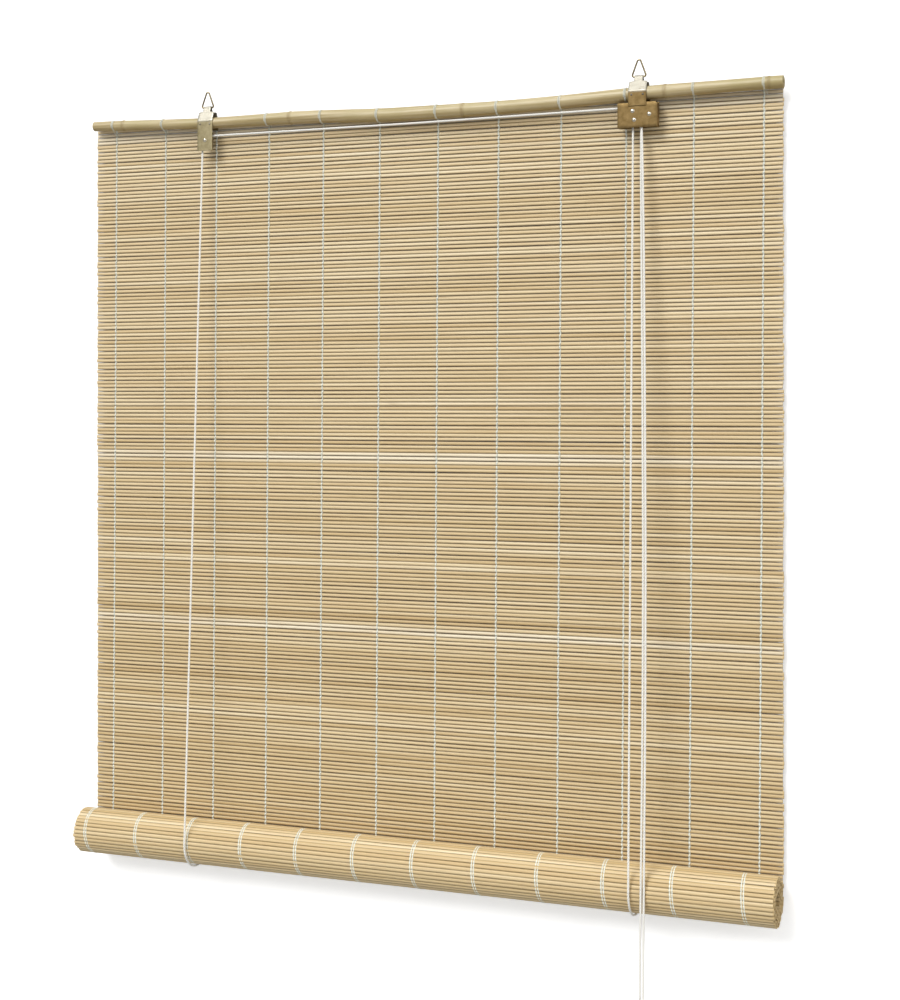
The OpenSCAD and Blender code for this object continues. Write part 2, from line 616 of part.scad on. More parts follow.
head_rail();
reed_mat();
warp_threads();
rail_ties();
left_strap();
right_strap();
strap_nails();
left_ring();
right_ring();
left_pulley_cage();
left_pulley_wheel();
left_pulley_rivet();
lock_housing();
lock_back_plate();
lock_guide_roller();
lock_cam();
lock_rivets();
cross_cord();
right_turn_cord();
left_front_cord();
right_front_cord();
left_back_cord();
right_back_cord();
cord_knots();
left_sling();
right_sling();
rolled_mat();
front_pull_cord();
rear_pull_cord();
cord_hank();
hank_band();
cord_tails();
pull_knob();
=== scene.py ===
"""Bamboo roll-up blind, half raised, hung in front of a white wall.

All lengths are metres in the part's own frame: X along the rail, Y towards the wall, Z up, with the
origin midway between the two hanger rings at the height where the wall hooks carry them.
"""

import bmesh
import bpy
import numpy as np
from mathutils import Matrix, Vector


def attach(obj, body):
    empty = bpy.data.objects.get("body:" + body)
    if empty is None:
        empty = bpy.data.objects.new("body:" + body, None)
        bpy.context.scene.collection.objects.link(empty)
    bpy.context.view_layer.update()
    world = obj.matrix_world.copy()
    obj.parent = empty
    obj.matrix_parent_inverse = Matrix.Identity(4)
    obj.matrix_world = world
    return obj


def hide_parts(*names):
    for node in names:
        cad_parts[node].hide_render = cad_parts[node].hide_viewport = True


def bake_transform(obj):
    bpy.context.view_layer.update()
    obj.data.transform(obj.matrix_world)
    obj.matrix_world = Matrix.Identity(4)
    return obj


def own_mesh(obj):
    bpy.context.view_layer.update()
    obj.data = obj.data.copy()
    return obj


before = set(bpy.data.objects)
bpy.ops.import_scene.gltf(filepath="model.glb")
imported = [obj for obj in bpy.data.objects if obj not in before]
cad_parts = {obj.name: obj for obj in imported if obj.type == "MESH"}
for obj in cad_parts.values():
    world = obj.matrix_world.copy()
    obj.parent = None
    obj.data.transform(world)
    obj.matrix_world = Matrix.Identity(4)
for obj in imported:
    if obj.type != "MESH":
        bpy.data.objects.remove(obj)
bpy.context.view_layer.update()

# Head rail
# A thin bamboo culm, sawn off at both ends and still bowed as it grew. It carries the mat and tapers
# from its middle to both ends, with a raised ring and a groove at each node.
RAIL_Z = -0.0334
RAIL_MID = -0.001
RAIL_HALF = 0.3995
RAIL_LINE = (
    [-1, -0.62, -0.32, -0.08, 0.25, 0.42, 0.66, 1],
    [0.005, -0.0005, -0.0005, -0.0046, -0.005, -0.0037, 0.0005, 0.002],
)
RAIL_RADII = ([-1, 0, 1], [0.0053, 0.0075, 0.0064])
BEND_REACH = 0.06
RAIL_NODES = np.array([-0.9, -0.363, 0.15, 0.7, 0.965]) * RAIL_HALF
NODE_REACH = 0.012
NODE_RING, NODE_RING_WIDTH = 0.00034, 0.0011
NODE_GROOVE, GROOVE_WIDTH, GROOVE_OFF = 0.6 * NODE_RING, 0.0009, 0.0024
NODE_FLARE, FLARE_REACH = 0.00035, 0.007
OVAL_SHARE, OVAL_TWIST = 0.018, 21
END_STEPS = np.array([0.0, 0.0003, 0.0003, -0.0012, -0.0015])
END_SHARES = np.array([0.96, 0.88, 0.48, 0.42, 0.0])
RAIL_SIDES = 32


def srgb(red, green, blue):
    """A colour of 0 to 255 in linear light: each share is raised by the usual curve."""
    share = np.array([red, green, blue]) / 255
    linear = np.where(share <= 0.04045, share / 12.92, ((share + 0.055) / 1.055) ** 2.4)
    return (*(float(value) for value in linear), 1.0)


def grid_faces(rows, columns, wrap=False, first=0):
    """Quads over a grid of points counted row by row. With wrap, the last column joins the first."""
    row = np.arange(rows - 1)[:, None]
    column = np.arange(columns if wrap else columns - 1)[None, :]
    after = (column + 1) % columns
    corners = [row * columns + column, row * columns + after]
    corners += [(row + 1) * columns + after, (row + 1) * columns + column]
    return (first + np.stack(corners, axis=-1).reshape(-1, 4)).tolist()


def new_piece(name, points, faces, material, slot, marks=None, weld=False, crease=0.7):
    """A mesh object from points of shape (..., 3). marks holds a value for each point under each name.
    Weld closes poles, and normals are turned outwards."""
    mesh = bpy.data.meshes.new(name)
    mesh.from_pydata(np.reshape(points, (-1, 3)).tolist(), [], faces)
    for label, values in (marks or {}).items():
        mark = mesh.attributes.new(label, "FLOAT", "POINT")
        mark.data.foreach_set("value", np.ravel(values).astype(np.float32))
    shell = bmesh.new()
    shell.from_mesh(mesh)
    if weld:
        bmesh.ops.remove_doubles(shell, verts=shell.verts, dist=1e-6)
    bmesh.ops.recalc_face_normals(shell, faces=shell.faces)
    shell.to_mesh(mesh)
    shell.free()
    mesh.shade_smooth()
    mesh.set_sharp_from_angle(angle=crease)
    mesh.materials.append(material)
    piece = bpy.data.objects.new(name, mesh)
    bpy.context.collection.objects.link(piece)
    return piece


def closed_piece(name, grid, material, slot, marks=None):
    """A piece from one grid whose columns close round, and whose points are welded where they meet."""
    faces = grid_faces(*grid.shape[:2], wrap=True)
    return new_piece(name, grid, faces, material, slot, marks, weld=True)


def new_material(name, roughness, metallic=0.0):
    """A new material, its node tree and its Principled shader, with that roughness and metallic share."""
    material = bpy.data.materials.new(name)
    material.use_nodes = True
    tree = material.node_tree
    shader = tree.nodes["Principled BSDF"]
    shader.inputs["Roughness"].default_value = roughness
    shader.inputs["Metallic"].default_value = metallic
    return material, tree, shader


def add_node(tree, kind, links=(), **settings):
    """One shader node: settings are its properties, and links its inputs as sockets or plain values."""
    node = tree.nodes.new(kind)
    for key, value in settings.items():
        setattr(node, key, value)
    for key, value in dict(links).items():
        if isinstance(value, bpy.types.NodeSocket):
            tree.links.new(value, node.inputs[key])
        else:
            node.inputs[key].default_value = value
    return node


def colour_ramp(tree, share, stops):
    """A colour for each share of 0 to 1, from stops of (position, colour)."""
    ramp = add_node(tree, "ShaderNodeValToRGB", {"Fac": share})
    band = ramp.color_ramp
    band.elements[0].position, band.elements[0].color = stops[0]
    band.elements[1].position, band.elements[1].color = stops[-1]
    for position, colour in stops[1:-1]:
        band.elements.new(position).color = colour
    return ramp.outputs["Color"]


def mixed(tree, share, first, second):
    """Two colours mixed by a share of 0 to 1."""
    return add_node(tree, "ShaderNodeMix", {0: share, 6: first, 7: second}, data_type="RGBA").outputs[2]


def maths(tree, operation, first, second=0.0):
    """One operation on two values, or on the first alone."""
    return add_node(tree, "ShaderNodeMath", {0: first, 1: second}, operation=operation).outputs[0]


def object_place(tree):
    """Object coordinates, which are places in the part's frame."""
    return add_node(tree, "ShaderNodeTexCoord").outputs["Object"]


def point_mark(tree, label):
    """The value that the mesh holds for each point under a name."""
    return add_node(tree, "ShaderNodeAttribute", attribute_name=label).outputs["Fac"]


def ranged(tree, value, low, high, start=0.0, end=1.0):
    """A value carried from the range low to high over to the range start to end, and held there."""
    links = {"Value": value, "From Min": low, "From Max": high, "To Min": start, "To Max": end}
    return add_node(tree, "ShaderNodeMapRange", links).outputs["Result"]


def raise_bump(tree, shader, height, distance, strength=1.0):
    """A height over the surface, in metres at full height, as the shader's normal."""
    links = {"Height": height, "Distance": distance, "Strength": strength}
    bump = add_node(tree, "ShaderNodeBump", links)
    tree.links.new(bump.outputs["Normal"], shader.inputs["Normal"])


def new_group(name, inputs, outputs):
    """An empty shader node group with named sockets, and its input and output nodes."""
    group = bpy.data.node_groups.new(name, "ShaderNodeTree")
    for label, kind in inputs:
        group.interface.new_socket(label, in_out="INPUT", socket_type=kind)
    for label in outputs:
        group.interface.new_socket(label, in_out="OUTPUT", socket_type="NodeSocketFloat")
    return group, group.nodes.new("NodeGroupInput"), group.nodes.new("NodeGroupOutput")


def fibre_group():
    """Wood fibre: noise drawn out along one direction, once broad as streaks and once fine as pores."""
    inputs = [("Vector", "NodeSocketVector"), ("Stretch", "NodeSocketVector")]
    group, given, result = new_group("wood_fibre", inputs, ["Streaks", "Pores"])
    drawn = add_node(group, "ShaderNodeVectorMath", {0: given.outputs[0], 1: given.outputs[1]},
                     operation="MULTIPLY").outputs[0]
    for label, scale, detail in (("Streaks", 1.0, 4.0), ("Pores", 4.3, 2.0)):
        noise = add_node(group, "ShaderNodeTexNoise", {"Vector": drawn, "Scale": scale, "Detail": detail})
        group.links.new(noise.outputs["Fac"], result.inputs[label])
    return group


wood_fibre = fibre_group()


def fibre(tree, stretch):
    """The two outputs of the fibre group in a material, on object coordinates."""
    links = {"Vector": object_place(tree), "Stretch": stretch}
    node = add_node(tree, "ShaderNodeGroup", links, node_tree=wood_fibre)
    return node.outputs["Streaks"], node.outputs["Pores"]


def full_turn(count):
    """The angles of a full turn, in that many even steps."""
    return np.linspace(0, 2 * np.pi, count, endpoint=False)


def rail_height(x):
    """Height of the pole's axis at x: the line of its bends, averaged over a short reach."""
    share = (x - RAIL_MID) / RAIL_HALF
    near = np.linspace(-BEND_REACH, BEND_REACH, 9)
    return RAIL_Z + np.mean([np.interp(share + step, *RAIL_LINE) for step in near], axis=0)


def rail_radius(x):
    """Plain radius of the pole at x: a straight taper from the middle to each end."""
    return np.interp((x - RAIL_MID) / RAIL_HALF, *RAIL_RADII)


def bamboo_pole():
    """A circle carried along the pole's axis, a little oval, with the oval turning along the pole. At a
    node the radius gains a ring, a groove beside it and a slow flare. Each end turns in over a small round
    to a hollow pith. The second result goes from -1 on top to 1 on the underside, and sets the painted
    shade of the underside."""
    near = np.concatenate([node + np.linspace(-NODE_REACH, NODE_REACH, 33) for node in RAIL_NODES])
    x = np.unique(np.concatenate([np.linspace(-RAIL_HALF, RAIL_HALF, 161), near]))
    x = x[np.abs(x) <= RAIL_HALF]
    off = x[:, None] - RAIL_NODES
    ring = NODE_RING * np.exp(-((off / NODE_RING_WIDTH) ** 2))
    groove = NODE_GROOVE * np.exp(-(((off - GROOVE_OFF) / GROOVE_WIDTH) ** 2))
    flare = NODE_FLARE * np.exp(-np.abs(off) / FLARE_REACH)
    radius = rail_radius(x + RAIL_MID) + (ring - groove + flare).sum(axis=1)
    along = np.concatenate([x[0] - END_STEPS[::-1], x, x[-1] + END_STEPS])
    radius = np.concatenate([radius[0] * END_SHARES[::-1], radius, radius[-1] * END_SHARES])
    turn = full_turn(RAIL_SIDES)
    oval = 1 + OVAL_SHARE * np.sin(2 * turn[None, :] + OVAL_TWIST * along[:, None])
    points = np.empty((len(along), RAIL_SIDES, 3))
    points[..., 0] = along[:, None] + RAIL_MID
    points[..., 1] = radius[:, None] * oval * np.cos(turn)
    points[..., 2] = rail_height(along + RAIL_MID)[:, None] + radius[:, None] * oval * np.sin(turn)
    return points, np.broadcast_to(-np.sin(turn), points.shape[:2])


def bamboo_material():
    """Waxed tan skin with long streaks, duller green patches and dark node lines. Its underside is painted
    browner, a painted shade."""
    material, tree, shader = new_material("bamboo_skin", 0.42)
    place = object_place(tree)
    along = add_node(tree, "ShaderNodeSeparateXYZ", {"Vector": place}).outputs["X"]
    streaks, pores = fibre(tree, (9.0, 420.0, 420.0))
    skin = colour_ramp(tree, streaks, [
        (0.28, srgb(160, 140, 98)), (0.5, srgb(196, 180, 140)), (0.72, srgb(214, 202, 168))])
    patches = add_node(tree, "ShaderNodeTexNoise", {"Vector": place, "Scale": 14.0, "Detail": 3.0})
    green = ranged(tree, patches.outputs["Fac"], 0.42, 0.72)
    skin = mixed(tree, green, skin, srgb(178, 164, 118))
    # Painted shade: the underside of the pole is painted browner.
    under = ranged(tree, point_mark(tree, "under"), -0.35, 0.8, 0.0, 0.5)
    skin = mixed(tree, under, skin, srgb(146, 116, 54))
    steps = [maths(tree, "SUBTRACT", along, float(node + RAIL_MID)) for node in RAIL_NODES]
    nearest, *others = [maths(tree, "ABSOLUTE", step) for step in steps]
    for other in others:
        nearest = maths(tree, "MINIMUM", nearest, other)
    node_line = ranged(tree, nearest, 0.0006, 0.0032, 0.32, 0.0)
    skin = mixed(tree, node_line, skin, srgb(120, 92, 50))
    tree.links.new(skin, shader.inputs["Base Color"])
    tree.links.new(ranged(tree, streaks, 0.2, 0.8, 0.5, 0.34), shader.inputs["Roughness"])
    raise_bump(tree, shader, pores, 0.00025, 0.5)
    return material


bamboo_skin = bamboo_material()
pole, pole_shade_share = bamboo_pole()
head_rail = closed_piece("head_rail_pole", pole, bamboo_skin, "bamboo_pole", {"under": pole_shade_share})
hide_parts("head_rail")
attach(head_rail, "head")

# Reed mat
# Peeled reed sticks as long as the blind is wide, each a little crooked and of its own tone. They lie
# one above the other with a sliver of air between, and only the warp threads hold them.
MAT_SHIFT = -0.003
MAT_HALF = 0.4
MAT_Y = 0.0096
STICK_PITCH = 0.0042
ROW_START = RAIL_Z - 0.0014
STICK_HEIGHT = 0.0039
STICK_DEPTH = 0.0023
STICK_COUNT = 192
STICK_STATIONS = 7
STICK_SIDES = 8
STICK_WANDER = 0.0001
HEIGHT_SPREADS = (0.025, 0.015)
DEPTH_SPREADS = (0.04, 0.02)
END_SPREAD = (-0.0002, 0.0013)
SAWN_START, SAWN_FULL = 0.0016, 0.0008
MIDDLE_TONE, TONE_SPREAD = 0.56, 0.13
TONE_LIMITS = (0.05, 0.9)
TOP_TONE, TONE_FALL = 0.04, 0.3
# Rows 88, 89, 133 and 134 are paler sticks; rows 1 to 3, just under the pole, are painted pale as painted
# light against the pole's shadow.
PALE_AND_PAINTED_LIGHT_ROWS = [1, 2, 3, 88, 89, 133, 134]
PALE_TONE = 0.9
STILL_STICKS = 16
draws = np.random.default_rng(11)


def uneven(middle, between, along, shape):
    """A random value for each stick, spread by between, with a change at each station, spread by along."""
    return draws.normal(middle, between, (shape[0], 1)) + draws.normal(0, along, shape)


def sticks(centre, depth_way, height_way):
    """Sticks across the mat. Each is a rounded oblong carried along X, whose middle wanders and whose
    size swells slowly. centre, depth_way and height_way are (count, 2) arrays in Y and Z. The last result
    is 1 on a stick's upper and lower edges and falls towards its front and back; it sets the painted
    shade of the gaps."""
    count = len(centre)
    shape = (count, STICK_STATIONS)
    wander = uneven(0, STICK_WANDER, STICK_WANDER, shape)
    sway = draws.normal(0, STICK_WANDER, shape)
    height = STICK_HEIGHT / 2 * uneven(1.0, *HEIGHT_SPREADS, shape)
    depth = STICK_DEPTH / 2 * uneven(1.0, *DEPTH_SPREADS, shape)
    x = np.linspace(-MAT_HALF, MAT_HALF, STICK_STATIONS) + np.zeros((count, 1))
    x[:, 0] += draws.uniform(*END_SPREAD, count)
    x[:, -1] -= draws.uniform(*END_SPREAD, count)
    turn = (np.arange(STICK_SIDES) + 0.5) * 2 * np.pi / STICK_SIDES
    across, upward = np.cos(turn) / np.cos(turn[0]), np.sin(turn) / np.cos(turn[0])
    out = sway[..., None] + depth[..., None] * across
    up = wander[..., None] + height[..., None] * upward
    points = np.empty((*shape, STICK_SIDES, 3))
    points[..., 0] = x[..., None] + MAT_SHIFT
    for axis in (0, 1):
        points[..., axis + 1] = (centre[:, None, None, axis] + out * depth_way[:, None, None, axis]
                                 + up * height_way[:, None, None, axis])
    ring = STICK_STATIONS * STICK_SIDES
    faces = np.concatenate([
        np.array(grid_faces(STICK_STATIONS, STICK_SIDES, wrap=True, first=i * ring)) for i in range(count)])
    starts = np.arange(count)[:, None] * ring + np.arange(STICK_SIDES)
    caps = starts.tolist() + (starts + ring - STICK_SIDES).tolist()
    edge = np.broadcast_to(np.abs(upward), points.shape[:3])
    return points, faces.tolist() + caps, edge


def reed_material():
    """Pale reed: the stick's own tone picks its colour, and long fibre streaks and flecks mark it. Its
    upper and lower edges are painted brown as painted shade in the gaps, and its sawn ends are a plain tan."""
    material, tree, shader = new_material("peeled_reed", 0.5)
    colour = colour_ramp(tree, point_mark(tree, "tone"), [
        (0.0, srgb(186, 158, 108)), (0.3, srgb(212, 188, 142)), (0.6, srgb(228, 208, 167)),
        (0.85, srgb(236, 221, 188)), (1.0, srgb(242, 232, 208))])
    streaks, pores = fibre(tree, (5.0, 260.0, 260.0))
    dull = ranged(tree, streaks, 0.6, 0.34, 0.0, 0.45)
    colour = mixed(tree, dull, colour, srgb(202, 172, 122))
    flecks = ranged(tree, pores, 0.33, 0.26, 0.0, 0.4)
    colour = mixed(tree, flecks, colour, srgb(140, 108, 62))
    # Painted shade: each stick's upper and lower edges turn dark brown, where the gaps would be shaded.
    edge = ranged(tree, point_mark(tree, "edge"), 0.45, 0.98, 0.0, 0.94)
    colour = mixed(tree, edge, colour, srgb(98, 73, 33))
    along = add_node(tree, "ShaderNodeSeparateXYZ", {"Vector": object_place(tree)}).outputs["X"]
    reach = maths(tree, "ABSOLUTE", maths(tree, "SUBTRACT", along, MAT_SHIFT))
    sawn = ranged(tree, reach, MAT_HALF - SAWN_START, MAT_HALF - SAWN_FULL, 0.0, 0.7)
    colour = mixed(tree, sawn, colour, srgb(206, 180, 128))
    tree.links.new(colour, shader.inputs["Base Color"])
    tree.links.new(ranged(tree, streaks, 0.3, 0.7, 0.62, 0.44), shader.inputs["Roughness"])
    raise_bump(tree, shader, pores, 0.00018, 0.55)
    return material


def stick_tones(count):
    """A tone for each stick, from 0 for dark to 1 for pale: mostly middling, and spread at random."""
    return np.clip(draws.normal(MIDDLE_TONE, TONE_SPREAD, count), *TONE_LIMITS)


def over_points(tones):
    """Each stick's tone given to all its points."""
    return np.repeat(tones, STICK_STATIONS * STICK_SIDES)


peeled_reed = reed_material()
rows = np.arange(STICK_COUNT)
row_height = ROW_START - rows * STICK_PITCH
row_centre = np.stack([np.full(STICK_COUNT, MAT_Y), row_height], axis=1)
mat_depth_way = np.tile([1.0, 0.0], (STICK_COUNT, 1))
mat_height_way = np.tile([0.0, 1.0], (STICK_COUNT, 1))
row_tone = stick_tones(STICK_COUNT) + TOP_TONE - TONE_FALL * rows / STICK_COUNT
row_tone[PALE_AND_PAINTED_LIGHT_ROWS] = PALE_TONE
mat_parts = []
for part_name, chosen in (("reed_mat_top", rows < STILL_STICKS), ("reed_mat_drop", rows >= STILL_STICKS)):
    # The edge mark carries the painted shade of the gaps.
    points, faces, edge = sticks(row_centre[chosen], mat_depth_way[chosen], mat_height_way[chosen])
    marks = {"tone": over_points(row_tone[chosen]), "edge": edge}
    part = new_piece(part_name, points, faces, peeled_reed, "reed", marks)
    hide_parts("reed_mat")
    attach(part, "head")
    mat_parts.append(part)
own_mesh(mat_parts[1])

# Warp threads
# White cotton twined round every stick, one strand in front and one behind, which cross in each gap.
# Twelve columns hold the mat together, a little out of plumb.
THREAD_COUNT = 12
THREAD_RADIUS = 0.0005
THREAD_WIDE = 2.1
THREAD_SIDES = 4
LEFT_MARGIN, RIGHT_MARGIN = 0.0255, 0.0208
THREAD_SPAN = (MAT_SHIFT - MAT_HALF + LEFT_MARGIN, MAT_SHIFT + MAT_HALF - RIGHT_MARGIN)
THREAD_DRIFT = 0.047
THREAD_LEAN = 0.005
THREAD_SIDE = -0.0012
THREAD_SEAT = 0.7
THREAD_SWAY = 0.0003
THREAD_STEPS = 4
SWELL_POWER = 0.55
ALL_SMOOTH = 3.0


def run_length(path):
    """The length along a line up to each of its points."""
    return np.concatenate([[0], np.cumsum(np.linalg.norm(np.diff(path, axis=0), axis=1))])


def tube(path, radius, ref, sides, strands=0, lay=0.009, groove=0.2, wide=1.0):
    """A round profile carried along a path of shape (count, 3), turned against the direction ref and made
    wide times as wide along it. With strands the profile has that many lobes, and turns once per length
    lay, as a twisted cord does."""
    path = np.asarray(path, float)
    way = np.gradient(path, axis=0)
    way /= np.linalg.norm(way, axis=1, keepdims=True)
    side = np.cross(way, ref)
    side /= np.linalg.norm(side, axis=1, keepdims=True)
    other = np.cross(way, side)
    turn = full_turn(sides)
    twist = 2 * np.pi * run_length(path)[:, None] / lay
    lobe = 0.5 + 0.5 * np.cos(strands * (turn[None, :] - twist))
    size = radius * (1 - groove * (1 - lobe)) if strands else np.full((len(path), sides), radius)
    points = path[:, None] + size[..., None] * (
        np.cos(turn)[None, :, None] * side[:, None] + wide * np.sin(turn)[None, :, None] * other[:, None])
    return points, lobe


def tube_faces(rows, sides, first=0):
    """The wall of a tube and its two flat ends."""
    end = first + (rows - 1) * sides
    caps = [list(range(first, first + sides)), list(range(end, end + sides))]
    return grid_faces(rows, sides, wrap=True, first=first) + caps


def joined_tubes(tubes):
    """Several tubes as one set of points, faces and lobes."""
    points, faces, lobes, first = [], [], [], 0
    for grid, lobe in tubes:
        points.append(grid.reshape(-1, 3))
        lobes.append(lobe.ravel())
        faces += tube_faces(*grid.shape[:2], first=first)
        first += grid.shape[0] * grid.shape[1]
    return np.concatenate(points), faces, np.concatenate(lobes)


def thread_x(column):
    """Place of a thread column: an even spacing, drawn to the left in the middle of the mat."""
    share = column / (THREAD_COUNT - 1)
    return THREAD_SPAN[0] + (THREAD_SPAN[1] - THREAD_SPAN[0]) * (share + THREAD_DRIFT * share * (share - 1))


def twine(column, side, first_row, last_row):
    """One strand of a column: it bulges over each stick to one side and dips into each gap, while it
    sways across from stick to stick."""
    steps = np.arange((last_row - first_row) * THREAD_STEPS + 1) / THREAD_STEPS + first_row - 0.5
    swell = np.abs(np.cos(np.pi * steps)) ** SWELL_POWER
    bulge = (STICK_DEPTH / 2 + THREAD_RADIUS * THREAD_SEAT) * swell
    height = ROW_START - steps * STICK_PITCH
    lean = THREAD_SIDE + THREAD_LEAN * (0.5 - steps / STICK_COUNT)
    sway = THREAD_SWAY * side * np.sin(np.pi * steps)
    path = np.stack([thread_x(column) + lean + sway, MAT_Y + side * bulge, height], axis=1)
    return tube(path, THREAD_RADIUS, (1, 0, 0), THREAD_SIDES, wide=THREAD_WIDE)


def thread_material():
    """White cotton: a faint uneven grey along it and a rough, soft surface."""
    material, tree, shader = new_material("cotton_thread", 0.85)
    links = {"Vector": object_place(tree), "Scale": 900.0, "Detail": 2.0}
    fuzz = add_node(tree, "ShaderNodeTexNoise", links)
    colour = colour_ramp(tree, fuzz.outputs["Fac"], [
        (0.3, srgb(204, 206, 192)), (0.6, srgb(230, 231, 219)), (0.8, srgb(244, 244, 236))])
    tree.links.new(colour, shader.inputs["Base Color"])
    raise_bump(tree, shader, fuzz.outputs["Fac"], 0.0001, 0.6)
    return material


cotton_thread = thread_material()
columns = range(THREAD_COUNT)
for part_name, first_row, last_row in (
        ("warp_threads_top", 0, STILL_STICKS), ("warp_threads_drop", STILL_STICKS, STICK_COUNT)):
    strands = [twine(column, side, first_row, last_row) for column in columns for side in (-1, 1)]
    thread_points, thread_faces, _ = joined_tubes(strands)
    part = new_piece(part_name, thread_points, thread_faces, cotton_thread, "thread", crease=ALL_SMOOTH)
    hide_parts("warp_threads")
    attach(part, "head")
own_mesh(part)

# Rail ties
# At the head of each column the thread goes twice round the pole and back into the mat, which is all
# that holds the mat up. Under the two straps there is no room for one.
HANGER_X = 0.251
STRAP_WIDTH = 0.019
TIE_RADIUS = 0.0003
TIE_SIDE = 0.0034
TIE_HALF = 0.0011
TIE_FIT, TIE_SEAT = 1.02, 0.8
TIE_FOOT = RAIL_Z - 0.008
TIE_SPAN = (-0.62 * np.pi, 3.9 * np.pi)
TIE_END_POINTS = 6
BESIDE_STRAP = 0.0014


def tie(column):
    """A coil of two turns round the pole, square to it, whose two ends run back to the mat's top."""
    x = thread_x(column) + TIE_SIDE
    radius = rail_radius(x) * TIE_FIT + TIE_RADIUS * TIE_SEAT
    turn = np.linspace(*TIE_SPAN, 84)
    beside = TIE_HALF * np.linspace(-1, 1, len(turn))
    path = np.stack([x + beside, radius * np.sin(turn), rail_height(x) + radius * np.cos(turn)], axis=1)
    mat_end = np.array([MAT_Y - STICK_DEPTH / 2, TIE_FOOT])
    ends = []
    for way, at in ((-1, 0), (1, -1)):
        run = np.linspace(mat_end, path[at, 1:], TIE_END_POINTS + 1)[:-1]
        ends.append(np.stack([np.full(TIE_END_POINTS, x + TIE_HALF * way), *run.T], axis=1))
    return tube(np.concatenate([ends[0], path, ends[1][::-1]]), TIE_RADIUS, (1, 0, 0.02), 6)


def is_free(column):
    """Whether no strap covers the pole at that column."""
    return abs(abs(thread_x(column)) - HANGER_X) > STRAP_WIDTH / 2 + BESIDE_STRAP


tie_points, tie_faces, _ = joined_tubes([tie(column) for column in columns if is_free(column)])
ties = new_piece("rail_tie_threads", tie_points, tie_faces, cotton_thread, "thread", crease=ALL_SMOOTH)
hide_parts("rail_ties")
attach(ties, "head")

# Rolled mat
# The lower part of the same mat, wound up from below into a loose roll round a small hollow. It turns
# as the cords draw it up. Its threads show as pairs of white stitches round its outer turn.
HUNG_HEIGHT = 0.8045
ROLL_Z = RAIL_Z - HUNG_HEIGHT
TURN_RADIUS = 0.0251
ROLL_Y = MAT_Y - TURN_RADIUS
TURN_PITCH = 0.00255
FIRST_ROLLED = 0.0033
ROLLED_COUNT = 162
STITCHED_LENGTH = 0.17
STITCH_RADIUS = 0.00022
STITCH_WIDE = 3.6
STITCH_SEAT = 0.5
STITCH_SIDES = 5
STITCH_APART = 0.0012
ROLL_LEAN = 0.08
ROLL_EDGE_SHADE = 0.72
ROLL_TONE = -0.2


def spiral(length):
    """Angle and radius of the roll at a length of mat from its start: each turn lies one pitch further
    in, so the angle follows from the area that the wound length covers."""
    inner = np.sqrt(TURN_RADIUS**2 - TURN_PITCH * length / np.pi)
    angle = (TURN_RADIUS - inner) * 2 * np.pi / TURN_PITCH
    return angle, TURN_RADIUS - TURN_PITCH * angle / (2 * np.pi)


rolled_length = FIRST_ROLLED + np.arange(ROLLED_COUNT) * STICK_PITCH
roll_angle, roll_radius = spiral(rolled_length)
outward = np.stack([np.cos(roll_angle), -np.sin(roll_angle)], axis=1)
forward = np.stack([-np.sin(roll_angle), -np.cos(roll_angle)], axis=1)
roll_centre = np.array([ROLL_Y, ROLL_Z]) + roll_radius[:, None] * outward
roll_points, roll_faces, roll_edge_shade = sticks(roll_centre, outward, forward)
# The roll's reeds get a weaker painted shade on their edges, for the gaps.
roll_marks = {"tone": over_points(stick_tones(ROLLED_COUNT) + ROLL_TONE), "edge": roll_edge_shade * ROLL_EDGE_SHADE}
rolled_mat = new_piece("rolled_mat_sticks", roll_points, roll_faces, peeled_reed, "reed", roll_marks)
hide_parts("rolled_mat")
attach(rolled_mat, "roll")


def roll_stitch(column, beside):
    """One thread round the roll's outer turn: it bulges over each stick, dips into each gap and leans."""
    length = np.arange(0, STITCHED_LENGTH, STICK_PITCH / THREAD_STEPS)
    angle, radius = spiral(length)
    swell = np.abs(np.cos(np.pi * (length - FIRST_ROLLED) / STICK_PITCH)) ** SWELL_POWER
    radius = radius + (STICK_DEPTH / 2 + STITCH_RADIUS * STITCH_SEAT) * swell
    x = thread_x(column) + THREAD_SIDE - THREAD_LEAN / 2 + beside - ROLL_LEAN * length
    path = np.stack([x, ROLL_Y + radius * np.cos(angle), ROLL_Z - radius * np.sin(angle)], axis=1)
    return tube(path, STITCH_RADIUS, (1, 0, 0), STITCH_SIDES, wide=STITCH_WIDE)


stitch_points, stitch_faces, _ = joined_tubes([
    roll_stitch(column, beside) for column in columns for beside in (-STITCH_APART, STITCH_APART)])
stitches = new_piece("rolled_mat_threads", stitch_points, stitch_faces, cotton_thread, "thread",
                     crease=ALL_SMOOTH)
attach(stitches, "roll")

# Hanger straps
# Each is one strip of plated steel sheet, bent over the bar of a wire ring and down both sides of the
# pole, with a narrow neck at the ring. The left one reaches lower in front, over its pulley.
BAR_Z = -0.0164
STRAP_SHEET = 0.0008
SHEET_STEP, SHEET_BEND = 0.0004, 0.0016
SHEET_EDGE = 0.0002
NECK_WIDTH = 0.009
NECK_FOOT = BAR_Z - 0.005
NECK_BLEND = 0.0012
KNEE_Z = RAIL_Z + 0.002
WIRE_RADIUS = 0.0009
EYE_GAP = 0.00008
EYE_RADIUS = WIRE_RADIUS + EYE_GAP + STRAP_SHEET / 2
EYE_FOOT = BAR_Z - 0.001
BACK_FOOT = RAIL_Z - 0.008
POLE_GAP = 0.00015
LEFT_IN = float(rail_radius(-HANGER_X)) + POLE_GAP
RIGHT_IN = float(rail_radius(HANGER_X)) + POLE_GAP
LEFT_FOOT = RAIL_Z - 0.032
RIGHT_FOOT = RAIL_Z - 0.0135
SHEEN_FROM = RAIL_Z + 0.001
SHEEN_BLEND = 0.0012


